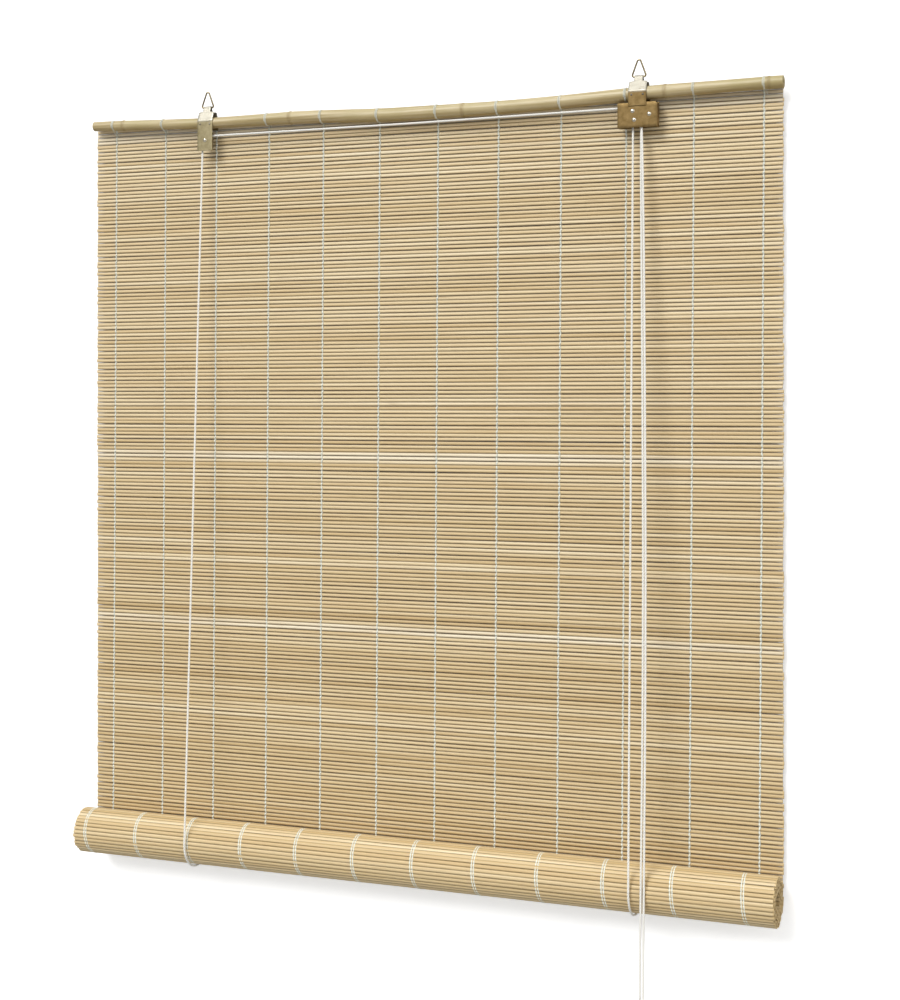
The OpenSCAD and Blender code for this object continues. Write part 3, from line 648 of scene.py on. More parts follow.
def rounded_path(points, step, reach):
    """A line through points, sampled every step and averaged over a smooth window of length reach. The
    line is carried on past each end by turning it about that end, so both ends stay in place."""
    points = np.asarray(points, float)
    length = run_length(points)
    spots = np.linspace(0, length[-1], int(np.ceil(length[-1] / step)) + 1)
    line = np.stack([np.interp(spots, length, points[:, axis]) for axis in range(points.shape[1])], axis=1)
    half = max(1, int(reach / step / 2))
    weight = np.hanning(2 * half + 3)[1:-1]
    before, after = 2 * line[0] - line[half:0:-1], 2 * line[-1] - line[-2:-half - 2:-1]
    padded = np.concatenate([before, line, after])
    return np.stack([np.convolve(padded[:, axis], weight / weight.sum(), "valid")
                     for axis in range(points.shape[1])], axis=1)


def bent_strip(x, line, width, stations):
    """A strip across X, centred on x: a line in Y and Z, spread to the width given for each of its points."""
    points = np.empty((len(line), stations, 3))
    points[..., 0] = x + np.reshape(width, (-1, 1)) * np.linspace(-0.5, 0.5, stations)
    points[..., 1:] = line[:, None]
    return points


def strap_sheet(x, inner, foot):
    """The strap's middle surface: its line in Y and Z goes up the front, round the eye and down the back,
    and its width narrows smoothly at the neck."""
    out = inner + STRAP_SHEET / 2
    eye = np.linspace(np.pi, 0, 13)
    line = [[-out, foot], [-out, KNEE_Z], [-EYE_RADIUS, EYE_FOOT]]
    line += np.stack([EYE_RADIUS * np.cos(eye), BAR_Z + EYE_RADIUS * np.sin(eye)], axis=1).tolist()
    line += [[EYE_RADIUS, EYE_FOOT], [out, KNEE_Z], [out, BACK_FOOT]]
    bent = rounded_path(line, SHEET_STEP, SHEET_BEND)
    neck = np.clip((bent[:, 1] - NECK_FOOT) / NECK_BLEND + 0.5, 0, 1)
    width = STRAP_WIDTH + (NECK_WIDTH - STRAP_WIDTH) * neck * neck * (3 - 2 * neck)
    return bent_strip(x, bent, width, 9)


def add_sheet(name, grid, material, slot, thickness, edge=SHEET_EDGE, faces=None):
    """A sheet from its middle surface: thickened to both sides, with its edges broken. Its faces are those
    of the whole grid unless others are given."""
    faces = faces or grid_faces(*grid.shape[:2])
    piece = new_piece(name, grid, faces, material, slot, weld=True)
    wall = piece.modifiers.new("sheet", "SOLIDIFY")
    wall.thickness, wall.offset, wall.use_even_offset = thickness, 0, True
    broken = piece.modifiers.new("edge", "BEVEL")
    broken.width, broken.segments, broken.limit_method = edge, 2, "ANGLE"
    return piece


def smudge_group():
    """Handled metal: broad smudges, fine scratches and small pits, as noise at three sizes."""
    group, given, result = new_group(
        "handled_metal", [("Vector", "NodeSocketVector")], ["Smudges", "Scratches", "Pits"])
    drawn = add_node(group, "ShaderNodeVectorMath", {0: given.outputs[0], 1: (90.0, 90.0, 2600.0)},
                     operation="MULTIPLY").outputs[0]
    for label, vector, scale, detail in (
            ("Smudges", given.outputs[0], 160.0, 3.0), ("Scratches", drawn, 1.0, 2.0),
            ("Pits", given.outputs[0], 1400.0, 1.0)):
        noise = add_node(group, "ShaderNodeTexNoise", {"Vector": vector, "Scale": scale, "Detail": detail})
        group.links.new(noise.outputs["Fac"], result.inputs[label])
    return group


handled_metal = smudge_group()


def plated_material(name, dark, light, rough, painted_sheen=None):
    """Plated sheet or wire: the plating's tone shifts with smudges, pits dull it and scratches roughen
    it. Given a bright colour, the strap's upper part, which tilts up to the light, takes it as a painted
    reflection."""
    material, tree, shader = new_material(name, rough, 1.0)
    place = object_place(tree)
    marks = add_node(tree, "ShaderNodeGroup", {"Vector": place}, node_tree=handled_metal)
    colour = colour_ramp(tree, marks.outputs["Smudges"], [(0.3, dark), (0.7, light)])
    # Painted reflection: above the rail's middle the strap turns pale, as if lit from above.
    if painted_sheen:
        height = add_node(tree, "ShaderNodeSeparateXYZ", {"Vector": place}).outputs["Z"]
        above = ranged(tree, height, SHEEN_FROM - SHEEN_BLEND, SHEEN_FROM + SHEEN_BLEND)
        colour = mixed(tree, above, colour, painted_sheen)
    worn = ranged(tree, marks.outputs["Pits"], 0.36, 0.28, 0.0, 0.7)
    colour = mixed(tree, worn, colour, srgb(84, 66, 40))
    tree.links.new(colour, shader.inputs["Base Color"])
    gloss = ranged(tree, marks.outputs["Scratches"], 0.3, 0.7, rough + 0.12, rough - 0.08)
    tree.links.new(gloss, shader.inputs["Roughness"])
    raise_bump(tree, shader, marks.outputs["Scratches"], 0.00004, 0.5)
    return material


# Painted reflection on the straps' upper parts, where they tilt up to the light.
strap_painted_sheen = srgb(156, 152, 140)
pale_plate = plated_material("pale_plating", srgb(150, 138, 104), srgb(178, 166, 132), 0.42, strap_painted_sheen)
warm_plate = plated_material("warm_plating", srgb(122, 100, 62), srgb(152, 128, 86), 0.44, strap_painted_sheen)
for name, x, inner, foot, plate in (("left_strap", -HANGER_X, LEFT_IN, LEFT_FOOT, pale_plate),
                                    ("right_strap", HANGER_X, RIGHT_IN, RIGHT_FOOT, warm_plate)):
    strap = add_sheet(name + "_sheet", strap_sheet(x, inner, foot), plate, "gilt_steel", STRAP_SHEET)
    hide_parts(name)
    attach(strap, "head")

# Strap nails
# Two small round-headed steel nails go through each strap's front into the pole, side by side, and keep
# the strap from turning or sliding on it.
NAIL_X = 0.006
NAIL_Z = RAIL_Z - 0.002
NAIL_HEAD = [(0.0, -0.00062), (0.0006, -0.00055), (0.0010, -0.00032), (0.0012, 0.0), (0.0006, 0.0),
             (0.0006, 0.0062), (0.0, 0.007)]


def turned(profile, at, sides=24):
    """A profile of (radius, depth along Y) pairs turned round an axis along Y through a point."""
    radius, depth = np.array(profile, float).T
    turn = full_turn(sides)
    points = np.empty((len(radius), sides, 3))
    points[..., 0] = at[0] + radius[:, None] * np.cos(turn)
    points[..., 1] = at[1] + depth[:, None]
    points[..., 2] = at[2] + radius[:, None] * np.sin(turn)
    return points


def joined_grids(grids):
    """Several grids, closed round, as one set of points and faces."""
    faces, first = [], 0
    for grid in grids:
        faces += grid_faces(*grid.shape[:2], wrap=True, first=first)
        first += grid.shape[0] * grid.shape[1]
    return np.concatenate([grid.reshape(-1, 3) for grid in grids]), faces


nail_steel = plated_material("nail_steel", srgb(96, 88, 76), srgb(150, 142, 128), 0.42)
nails = [turned(NAIL_HEAD, (side * HANGER_X + way * NAIL_X, -inner - STRAP_SHEET, NAIL_Z), 16)
         for side, inner in ((-1, LEFT_IN), (1, RIGHT_IN)) for way in (-1, 1)]
strap_nails = new_piece("strap_nail_heads", *joined_grids(nails), nail_steel, "nail_steel", weld=True)
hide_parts("strap_nails")
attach(strap_nails, "head")

# Hanger rings
# Bright steel wire bent to a small triangle. Its lower bar lies in the strap's eye, so the ring swings
# there, and a hook in the wall carries its upper corner.
RING_BASE = 0.010
RING_BEND = 0.002


def wire_ring(x):
    """A round wire carried along a closed line of three arcs, which the straight sides join."""
    lean = np.arctan2(-BAR_Z + WIRE_RADIUS - 2 * RING_BEND, RING_BASE / 2)
    corners = ((RING_BASE / 2, BAR_Z + RING_BEND, -np.pi / 2, np.pi / 2 - lean),
               (0, WIRE_RADIUS - RING_BEND, np.pi / 2 - lean, np.pi / 2 + lean),
               (-RING_BASE / 2, BAR_Z + RING_BEND, np.pi / 2 + lean, 1.5 * np.pi))
    angle = [np.linspace(start, end, 15) for _, _, start, end in corners]
    line = np.concatenate([
        np.stack([x + cx + RING_BEND * np.cos(a), 0 * a, cz + RING_BEND * np.sin(a)], axis=1)
        for (cx, cz, _, _), a in zip(corners, angle)])
    outward = np.concatenate([np.stack([np.cos(a), 0 * a, np.sin(a)], axis=1) for a in angle])
    turn = full_turn(16)
    depth = np.array([0.0, 1.0, 0.0])
    return line[:, None] + WIRE_RADIUS * (
        np.cos(turn)[None, :, None] * outward[:, None] + np.sin(turn)[None, :, None] * depth)


def loop_faces(rows, columns):
    """Quads over a grid that closes both ways."""
    faces = np.array(grid_faces(rows + 1, columns, wrap=True))
    return (faces % (rows * columns)).tolist()


bright_wire = plated_material("bright_wire", srgb(128, 112, 80), srgb(176, 162, 128), 0.24)
for name, side in (("left", -1), ("right", 1)):
    loop = wire_ring(side * HANGER_X)
    ring = new_piece(name + "_ring_wire", loop, loop_faces(*loop.shape[:2]), bright_wire, "bright_steel")
    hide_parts(name + "_ring")
    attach(ring, name + "_hang_ring")

# Left pulley
# A grooved wheel on a rivet, in a cage of folded sheet behind the left strap. The left cord comes up
# from the roll, over this wheel and off to the lock.
PULLEY_Z = RAIL_Z - 0.0202
CAGE_SHEET = 0.0006
CAGE_EDGE = 0.00015
CAGE_ROOM = 0.0047
CAGE_WIDTH = 0.014
CAGE_TOP = PULLEY_Z + 0.0086
CAGE_FOOT = PULLEY_Z - 0.009
WHEEL_Y = -LEFT_IN + CAGE_SHEET + CAGE_ROOM / 2
WHEEL_BORE = 0.00128
WHEEL_HALF = [(WHEEL_BORE, 0.0021), (0.0056, 0.0021), (0.006, 0.0018), (0.0059, 0.0016), (0.0042, 0.0009),
              (0.00355, 0.0005)]
WHEEL_PROFILE = [(radius, -depth) for radius, depth in WHEEL_HALF] + WHEEL_HALF[::-1]
WHEEL_PROFILE += WHEEL_PROFILE[:1]
RIVET_RADIUS = 0.0012
RIVET_HEAD = [(0.0, -0.001), (0.0008, -0.00093), (0.0015, -0.0007), (0.002, -0.00035), (0.0022, 0.0)]
RIVET_TAIL = [(0.0017, 0.0), (0.0017, 0.0004), (0.0014, 0.0006), (0.0, 0.0006)]


def folded_cage():
    """The cage's middle surface: its line in Y and Z goes up the front, over the wheel and down behind."""
    front, back = -LEFT_IN + CAGE_SHEET / 2, WHEEL_Y + CAGE_ROOM / 2 + CAGE_SHEET / 2
    top = CAGE_TOP - CAGE_SHEET / 2
    line = [[front, CAGE_FOOT], [front, top], [back, top], [back, CAGE_FOOT]]
    return bent_strip(-HANGER_X, rounded_path(line, SHEET_STEP, SHEET_BEND), CAGE_WIDTH, 5)


def rivet(at, front, back):
    """A domed head in front, a shank, and a flat head behind, turned round the rivet's axis."""
    shank = [(RIVET_RADIUS, 0.0), (RIVET_RADIUS, back - front)]
    tail = [(radius, back - front + depth) for radius, depth in RIVET_TAIL]
    return turned(RIVET_HEAD + shank + tail, (at[0], front, at[1]))


gilt_plate = plated_material("gilt_plating", srgb(120, 98, 60), srgb(150, 126, 84), 0.44)
turned_steel = plated_material("turned_steel", srgb(140, 136, 126), srgb(176, 172, 162), 0.3)
bright_rivet = plated_material("bright_rivet", srgb(200, 192, 174), srgb(232, 226, 212), 0.24)
cage = add_sheet("pulley_cage_sheet", folded_cage(), gilt_plate, "gilt_steel", CAGE_SHEET, CAGE_EDGE)
wheel_grid = turned(WHEEL_PROFILE, (-HANGER_X, WHEEL_Y, PULLEY_Z), 40)
wheel = closed_piece("pulley_wheel_grooved", wheel_grid, turned_steel, "roller_steel")
axle_grid = rivet((-HANGER_X, PULLEY_Z), -LEFT_IN - STRAP_SHEET, WHEEL_Y + CAGE_ROOM / 2 + CAGE_SHEET)
axle = closed_piece("pulley_rivet_domed", axle_grid, bright_rivet, "bright_steel")
for piece, node, body in ((cage, "left_pulley_cage", "head"), (wheel, "left_pulley_wheel", "left_pulley"),
                          (axle, "left_pulley_rivet", "head")):
    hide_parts(node)
    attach(piece, body)

# Cord lock
# A flat box of gilt sheet under the right strap. Its front plate is folded back along the top and the
# right side. Inside, both cords run over a roller and down between a pin and a toothed cam.
LOCK_HALF = 0.021
LOCK_HEIGHT = 0.026
LOCK_DEPTH = 0.008
LOCK_TOP = RAIL_Z - 0.0095
LOCK_FOOT = LOCK_TOP - LOCK_HEIGHT
LOCK_FRONT = -RIGHT_IN
LOCK_BACK = LOCK_FRONT + LOCK_DEPTH
LOCK_SHEET = 0.0008
LOCK_MID = (LOCK_FRONT + LOCK_BACK) / 2
ROLLER_AT = (HANGER_X - 0.0051, LOCK_TOP - 0.0089)
ANVIL_AT = (HANGER_X - 0.0034, LOCK_TOP - 0.018)
CAM_AT = (HANGER_X + 0.0124, LOCK_TOP - 0.0129)
FOLD_RADIUS = 0.0011


def folded_front():
    """The front plate's middle surface: a flat grid whose top and right margins turn back round a small
    radius, with the corner between the two margins left out."""
    flat = 9
    fold = np.linspace(0, np.pi / 2, 5)[1:]
    wall = np.arange(1, 4)
    margin = len(fold) + len(wall)
    count = flat + margin
    depth = LOCK_BACK - LOCK_SHEET - LOCK_FRONT - LOCK_SHEET / 2 - FOLD_RADIUS
    ahead = np.concatenate([np.zeros(flat), FOLD_RADIUS * np.sin(fold), np.full(len(wall), FOLD_RADIUS)])
    behind = np.concatenate([
        np.zeros(flat), FOLD_RADIUS * (1 - np.cos(fold)), FOLD_RADIUS + depth * wall / len(wall)])
    right = HANGER_X + LOCK_HALF - LOCK_SHEET / 2 - FOLD_RADIUS
    top = LOCK_TOP - LOCK_SHEET / 2 - FOLD_RADIUS
    flat_x = np.concatenate([np.linspace(HANGER_X - LOCK_HALF, right, flat), np.full(margin, right)])
    flat_z = np.concatenate([np.linspace(LOCK_FOOT, top, flat), np.full(margin, top)])
    points = np.empty((count, count, 3))
    points[..., 0] = (flat_x + ahead)[None, :]
    points[..., 2] = (flat_z + ahead)[:, None]
    points[..., 1] = LOCK_FRONT + LOCK_SHEET / 2 + behind[None, :] + behind[:, None]
    quads = np.array(grid_faces(count, count))
    row, column = quads[:, 0] // count, quads[:, 0] % count
    return points, quads[(row < flat - 1) | (column < flat - 1)].tolist()


def flat_back():
    """The back plate's middle surface: a flat grid across X and Z."""
    x = np.linspace(HANGER_X - LOCK_HALF, HANGER_X + LOCK_HALF, 9)
    z = np.linspace(LOCK_FOOT, LOCK_TOP, 7)
    points = np.empty((len(z), len(x), 3))
    points[..., 0], points[..., 1], points[..., 2] = x[None, :], LOCK_BACK - LOCK_SHEET / 2, z[:, None]
    return points


front_grid, front_quads = folded_front()
lock_front = add_sheet("lock_front_sheet", front_grid, gilt_plate, "gilt_steel", LOCK_SHEET,
                       faces=front_quads)
lock_back = add_sheet("lock_back_sheet", flat_back(), gilt_plate, "gilt_steel", LOCK_SHEET)
rivet_grids = [rivet(at, LOCK_FRONT, LOCK_BACK) for at in (ROLLER_AT, ANVIL_AT, CAM_AT)]
lock_rivets = new_piece("lock_rivets_domed", *joined_grids(rivet_grids), bright_rivet, "bright_steel",
                        weld=True)
for piece, node in ((lock_front, "lock_housing"), (lock_back, "lock_back_plate"),
                    (lock_rivets, "lock_rivets")):
    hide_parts(node)
    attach(piece, "head")
for node in ("lock_guide_roller", "lock_cam"):
    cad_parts[node].data.materials.clear()
    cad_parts[node].data.materials.append(turned_steel)

# Lift cords
# One white twisted cord on each side. Its end is knotted behind the strap, it goes down behind the mat,
# under the roll and up the front: on the left over the pulley and across to the lock, on the right
# straight into the lock.
CORD_RADIUS = 0.0012
CORD_SIDES = 12
CORD_STEP = 0.001
CORD_BEND = 0.004
SLING_X = (MAT_SHIFT - 0.253, MAT_SHIFT + 0.255)
SLING_GAP = 0.0003
SLING_RADIUS = TURN_RADIUS + STICK_DEPTH / 2 + SLING_GAP + CORD_RADIUS
SLING_FRONT = ROLL_Y - SLING_RADIUS
SLING_BACK = ROLL_Y + SLING_RADIUS
WHEEL_PITCH = 0.005
ROLLER_PITCH = 0.0037
ANVIL_PASS = 0.00265
LANE = (LOCK_DEPTH - 2 * LOCK_SHEET) / 4
FRONT_LANE, REAR_LANE = LOCK_MID - LANE, LOCK_MID + LANE
FRONT_EXIT = (0.255, FRONT_LANE, LOCK_FOOT)
REAR_EXIT = (0.2536, REAR_LANE, LOCK_FOOT)
LEFT_ENTRY = (-HANGER_X - WHEEL_PITCH, WHEEL_Y, LEFT_FOOT)
RIGHT_ENTRY = (ANVIL_AT[0] - ANVIL_PASS, REAR_LANE, LOCK_FOOT)
CROSS_SAG = 0.001
KNOT_Z = RAIL_Z + 0.0054
KNOT_REST = STRAP_SHEET + 0.00185
HITCH_BEND_Z = RAIL_Z + 0.003
HITCH_FOOT_Z = RAIL_Z - 0.006


def arc(centre, radius, y, start, end, count):
    """Points of an arc in X and Z at the depth y, between two angles in degrees."""
    angle = np.radians(np.linspace(start, end, count))
    return np.stack([centre[0] + radius * np.cos(angle), np.full(count, y),
                     centre[1] + radius * np.sin(angle)], axis=1)


def cord_material():
    """White twisted cord: greyer in the grooves between its strands as painted shade, with fine fibres over
    it.
    """
    material, tree, shader = new_material("twisted_cord", 0.8)
    links = {"Vector": object_place(tree), "Scale": 1100.0, "Detail": 2.0}
    fuzz = add_node(tree, "ShaderNodeTexNoise", links)
    # Painted shade: the cord turns grey in the grooves between its strands.
    colour = colour_ramp(tree, point_mark(tree, "tone"), [
        (0.0, srgb(190, 186, 174)), (0.45, srgb(236, 234, 227)), (1.0, srgb(250, 249, 245))])
    grey = ranged(tree, fuzz.outputs["Fac"], 0.45, 0.25, 0.0, 0.35)
    colour = mixed(tree, grey, colour, srgb(206, 202, 190))
    tree.links.new(colour, shader.inputs["Base Color"])
    raise_bump(tree, shader, fuzz.outputs["Fac"], 0.00012, 0.6)
    return material


def twisted(name, path, ref):
    """A twisted cord of three strands along a path."""
    points, lobe = tube(path, CORD_RADIUS, ref, CORD_SIDES, strands=3)
    faces = tube_faces(*points.shape[:2])
    return new_piece(name, points, faces, twisted_cord, "cord", {"tone": lobe}, crease=ALL_SMOOTH)


twisted_cord = cord_material()
cross_path = np.concatenate([
    [LEFT_ENTRY],
    arc((-HANGER_X, PULLEY_Z), WHEEL_PITCH, WHEEL_Y, 180, 90, 9),
    [[0, (WHEEL_Y + FRONT_LANE) / 2, (PULLEY_Z + WHEEL_PITCH + ROLLER_AT[1] + ROLLER_PITCH) / 2 - CROSS_SAG]],
    arc(ROLLER_AT, ROLLER_PITCH, FRONT_LANE, 90, 0, 7),
    [[ANVIL_AT[0] + ANVIL_PASS, FRONT_LANE, ANVIL_AT[1]], FRONT_EXIT]])
turn_path = np.concatenate([
    [RIGHT_ENTRY, [ANVIL_AT[0] - ANVIL_PASS, REAR_LANE, ANVIL_AT[1]]],
    arc(ROLLER_AT, ROLLER_PITCH, REAR_LANE, 180, 0, 13),
    [[ANVIL_AT[0] + ANVIL_PASS, REAR_LANE, ANVIL_AT[1]], REAR_EXIT]])
for name, path in (("cross_cord", cross_path), ("right_turn_cord", turn_path)):
    cord = twisted(name + "_twisted", rounded_path(path, CORD_STEP, CORD_BEND), (0, 1, 0))
    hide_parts(name)
    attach(cord, "head")

for name, x, top, knot_y in (("left", SLING_X[0], LEFT_ENTRY, LEFT_IN + KNOT_REST),
                             ("right", SLING_X[1], RIGHT_ENTRY, RIGHT_IN + KNOT_REST)):
    front_line = rounded_path([top, (x, SLING_FRONT, ROLL_Z)], CORD_STEP, CORD_BEND)
    down = twisted(name + "_front_cord_twisted", front_line, (1, 0, 0))
    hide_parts(name + "_front_cord")
    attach(down, "head")
    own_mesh(down)

    under = np.linspace(np.pi, 2 * np.pi, 90)
    bow = np.stack([np.full(len(under), x), ROLL_Y + SLING_RADIUS * np.cos(under),
                    ROLL_Z + SLING_RADIUS * np.sin(under)], axis=1)
    sling = twisted(name + "_sling_twisted", bow, (1, 0, 0))
    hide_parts(name + "_sling")
    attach(sling, "slings")

    hitch_foot = (x, SLING_BACK, HITCH_FOOT_Z)
    hitch_line = [(x, knot_y, KNOT_Z), (x, (SLING_BACK + knot_y) / 2, KNOT_Z), (x, SLING_BACK, HITCH_BEND_Z),
                  hitch_foot]
    hitch = twisted(name + "_back_cord_hitch", rounded_path(hitch_line, CORD_STEP / 2, CORD_BEND), (1, 0, 0))
    back_line = rounded_path([hitch_foot, (x, SLING_BACK, ROLL_Z)], CORD_STEP, CORD_BEND)
    run = twisted(name + "_back_cord_run", back_line, (1, 0, 0))
    for part in (hitch, run):
        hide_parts(name + "_back_cord")
        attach(part, "head")
    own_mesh(run)

# Cord knots
# The end of each lift cord is tied in an overhand knot of the same white cord. The knot rests behind the
# strap and is too big to slip down.
KNOT_RADIUS = 0.0014
KNOT_SWING = 0.5
KNOT_DEPTH = 0.6 * KNOT_RADIUS
KNOT_CORD = 0.8 * CORD_RADIUS
KNOT_LAY = 0.006


def knot(at):
    """A trefoil: a cord that turns three times round a small ring while it goes twice along it."""
    turn = np.linspace(0, 2 * np.pi, 121)
    reach = 1 + KNOT_SWING * np.cos(3 * turn)
    path = np.stack([at[0] + KNOT_RADIUS * reach * np.cos(2 * turn), at[1] + KNOT_DEPTH * np.sin(3 * turn),
                     at[2] + KNOT_RADIUS * reach * np.sin(2 * turn)], axis=1)
    return tube(path, KNOT_CORD, (0, 1, 0), 10, strands=3, lay=KNOT_LAY)


knot_points, knot_faces, knot_lobes = joined_tubes([
    knot((SLING_X[0], LEFT_IN + KNOT_REST, KNOT_Z)), knot((SLING_X[1], RIGHT_IN + KNOT_REST, KNOT_Z))])
knots = new_piece("cord_knots_tied", knot_points, knot_faces, twisted_cord, "cord", {"tone": knot_lobes},
                  crease=ALL_SMOOTH)
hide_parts("cord_knots")
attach(knots, "head")

# Pull cords
# Both lift cords come down together from the lock to the hand. The spare length is wound into a hank
# below the roll, from its two ends inwards, and the two ends go into the knob.
ROUTE_STEP, ROUTE_BEND = 0.002, 0.12
HANK_X, HANK_Y = HANGER_X + 0.0143, -0.0426
HANK_BEND = 0.0075
HANK_RUN = 0.042
HANK_SHARE = 1.1622
HANK_GAP = 0.0003
HANK_EASE = 0.012
HANK_TOP = RAIL_Z - HANK_SHARE * HUNG_HEIGHT - HANK_GAP
HANK_MID = HANK_TOP - HANK_BEND - CORD_RADIUS - HANK_RUN / 2
HANK_FOOT = HANK_MID - HANK_RUN / 2 - HANK_BEND - CORD_RADIUS
HANK_LOOPS = 8
HANK_STEP = 0.0026
HANK_OUTER = 0.0224
KNOB_TOP = HANK_FOOT - 0.01
TAIL_BESIDE = CORD_RADIUS + 0.00005
TAIL_START, TAIL_END = HANK_FOOT - 0.006, HANK_FOOT - 0.02
SPREAD_SHARE = 1.129
DROP_SHARES = np.array([0.056, 0.2026, 0.394, 0.588, 0.7806, 0.9484, 1.0006, 1.0727, SPREAD_SHARE])
FRONT_BESIDE = np.array([5, 8.6, 12.2, 15.4, 17, 17, 16.8, 16.4, 16.2]) / 1000
REAR_BESIDE = np.array([3, 6, 9.6, 12.8, 14.2, 14, 13.6, 13, 12.8]) / 1000
FRONT_DEPTH = np.array([-6, -12.5, -21.5, -30.5, -37.5, -41.8, -42.4, -42.6, -42.6]) / 1000
REAR_DEPTH = np.array([-4.4, -12.5, -21.5, -30.5, -37.5, -41.8, -42.4, -42.6, -42.6]) / 1000


def pull_route(start, beside, depth):
    """The points of a pull cord's way down from its start: places beside the hanger and depths, at shares of
    the hung mat's height."""
    steps = np.stack([HANGER_X + beside, depth, RAIL_Z - DROP_SHARES * HUNG_HEIGHT], axis=1)
    return np.concatenate([[start], steps])


FRONT_ROUTE = pull_route(FRONT_EXIT, FRONT_BESIDE, FRONT_DEPTH)
REAR_ROUTE = pull_route(REAR_EXIT, REAR_BESIDE, REAR_DEPTH)


def hank_turns(way):
    """Oblong turns in X and Z that step inwards along Y. Each has a run down, a bend, a run up and a bend,
    and the last run down leads out at the bottom. way is 1 for the front cord and -1 for the rear one."""
    bend, loop = np.pi * HANK_BEND, 2 * (HANK_RUN + np.pi * HANK_BEND)
    length = np.arange(0, HANK_LOOPS * loop + HANK_RUN, CORD_STEP)
    spot = length % loop
    first, second = (spot - HANK_RUN) / HANK_BEND, (spot - 2 * HANK_RUN - bend) / HANK_BEND
    stages = [spot < HANK_RUN, spot < HANK_RUN + bend, spot < 2 * HANK_RUN + bend,
              spot >= 2 * HANK_RUN + bend]
    across = HANK_BEND * np.select(stages, [1.0 + 0 * spot, np.cos(first), -1.0 + 0 * spot, -np.cos(second)])
    height = np.select(stages, [
        HANK_RUN / 2 - spot, -HANK_RUN / 2 - HANK_BEND * np.sin(first),
        spot - HANK_RUN * 1.5 - bend, HANK_RUN / 2 + HANK_BEND * np.sin(second)])
    depth = -way * (HANK_OUTER - HANK_STEP * length / loop)
    return np.stack([HANK_X + way * across, HANK_Y + depth, HANK_MID + height], axis=1)


def pull_path(route, way):
    """Down the route, out to the hank's end, round its turns and out below into the knob."""
    turns = hank_turns(way)
    tail = [(HANK_X + way * TAIL_BESIDE, HANK_Y, height) for height in (TAIL_START, TAIL_END)]
    line = np.concatenate([rounded_path(route, ROUTE_STEP, ROUTE_BEND), turns, tail])
    return rounded_path(line, CORD_STEP / 2, HANK_EASE)[::2]


cord_ends = {}
for name, route, way in (("front_pull_cord", FRONT_ROUTE, 1), ("rear_pull_cord", REAR_ROUTE, -1)):
    path = pull_path(route, way)
    cord = twisted(name + "_twisted", path, (0, 1, 0))
    cord_length = float(np.linalg.norm(np.diff(path, axis=0), axis=1).sum())
    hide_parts(name, "cord_hank" if way > 0 else "cord_tails")
    cord_ends[name] = (cord, path, cord_length)

# Hank band
# A strip of paper-covered wire is bent once round the middle of the hank. It holds the hank's turns
# together and has no other fixing.
BAND_HALF = 0.0025
BAND_SHEET = 0.0008
BAND_WIDE = HANK_BEND + CORD_RADIUS + 0.0005
BAND_DEEP = 0.0245
BAND_CORNER = 0.003
BAND_SQUARE = 1.6


def band_strip():
    """An oblong hoop in X and Y with round corners, carried over the band's height."""
    angle = full_turn(48)
    height = np.linspace(-BAND_HALF, BAND_HALF, 4)
    points = np.empty((len(height), len(angle), 3))
    for axis, middle, half, swing in ((0, HANK_X, BAND_WIDE, np.cos(angle)),
                                      (1, HANK_Y, BAND_DEEP, np.sin(angle))):
        side = np.clip(BAND_SQUARE * swing, -1, 1) * (half - BAND_CORNER)
        points[..., axis] = middle + (side + BAND_CORNER * swing)
    points[..., 2] = HANK_MID + height[:, None]
    return points


def band_material():
    """Brown paper over wire: fine fibres across it and a matt surface."""
    material, tree, shader = new_material("paper_band", 0.8)
    streaks, pores = fibre(tree, (300.0, 300.0, 1200.0))
    colour = colour_ramp(tree, streaks, [(0.3, srgb(176, 158, 122)), (0.7, srgb(206, 190, 154))])
    tree.links.new(colour, shader.inputs["Base Color"])
    raise_bump(tree, shader, pores, 0.0001, 0.6)
    return material


strip = band_strip()
hoop_faces = grid_faces(*strip.shape[:2], wrap=True)
band = add_sheet("hank_band_strip", strip, band_material(), "band", BAND_SHEET, faces=hoop_faces)
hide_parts("hank_band")
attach(band, "pull")

# Pull knob
# A wooden drop, turned on a lathe and varnished. It is bored from the top, and the two cord ends are
# held in the bore.
KNOB_BORE = 0.0029
KNOB_COLLAR = [(0, -0.012), (KNOB_BORE, -0.012), (KNOB_BORE, -0.0004), (KNOB_BORE + 0.0004, 0), (0.0050, 0),
               (0.0054, -0.0005), (0.0054, -0.0022), (0.0052, -0.0028), (0.0056, -0.0034)]
BELLY_MIDDLE = (0.00612, -0.0192)
BELLY_HALF = (0.00288, 0.0128)
KNOB_TIP = [(0.0038, -0.0317), (0.0018, -0.032), (0.0, -0.0321)]
KNOB_SIDES = 40


def turned_knob():
    """A profile of (radius, height) pairs turned round an upright axis: the bore, a collar, a belly that is
    part of an ellipse, and the tip."""
    angle = np.radians(np.linspace(58, -72, 19))
    belly = np.array(BELLY_MIDDLE) + np.array(BELLY_HALF) * np.stack([np.cos(angle), np.sin(angle)], axis=1)
    radius, height = np.concatenate([KNOB_COLLAR, belly, KNOB_TIP]).T
    turn = full_turn(KNOB_SIDES)
    points = np.empty((len(radius), KNOB_SIDES, 3))
    points[..., 0] = HANK_X + radius[:, None] * np.cos(turn)
    points[..., 1] = HANK_Y + radius[:, None] * np.sin(turn)
    points[..., 2] = KNOB_TOP + height[:, None]
    return points


def knob_material():
    """Varnished beech: upright grain in two browns under a clear coat."""
    material, tree, shader = new_material("turned_beech", 0.4)
    streaks, pores = fibre(tree, (500.0, 500.0, 45.0))
    colour = colour_ramp(tree, streaks, [
        (0.28, srgb(150, 104, 54)), (0.5, srgb(196, 150, 92)), (0.74, srgb(216, 176, 118))])
    tree.links.new(colour, shader.inputs["Base Color"])
    tree.links.new(ranged(tree, pores, 0.3, 0.7, 0.48, 0.34), shader.inputs["Roughness"])
    shader.inputs["Coat Weight"].default_value = 0.5
    raise_bump(tree, shader, pores, 0.0001, 0.4)
    return material


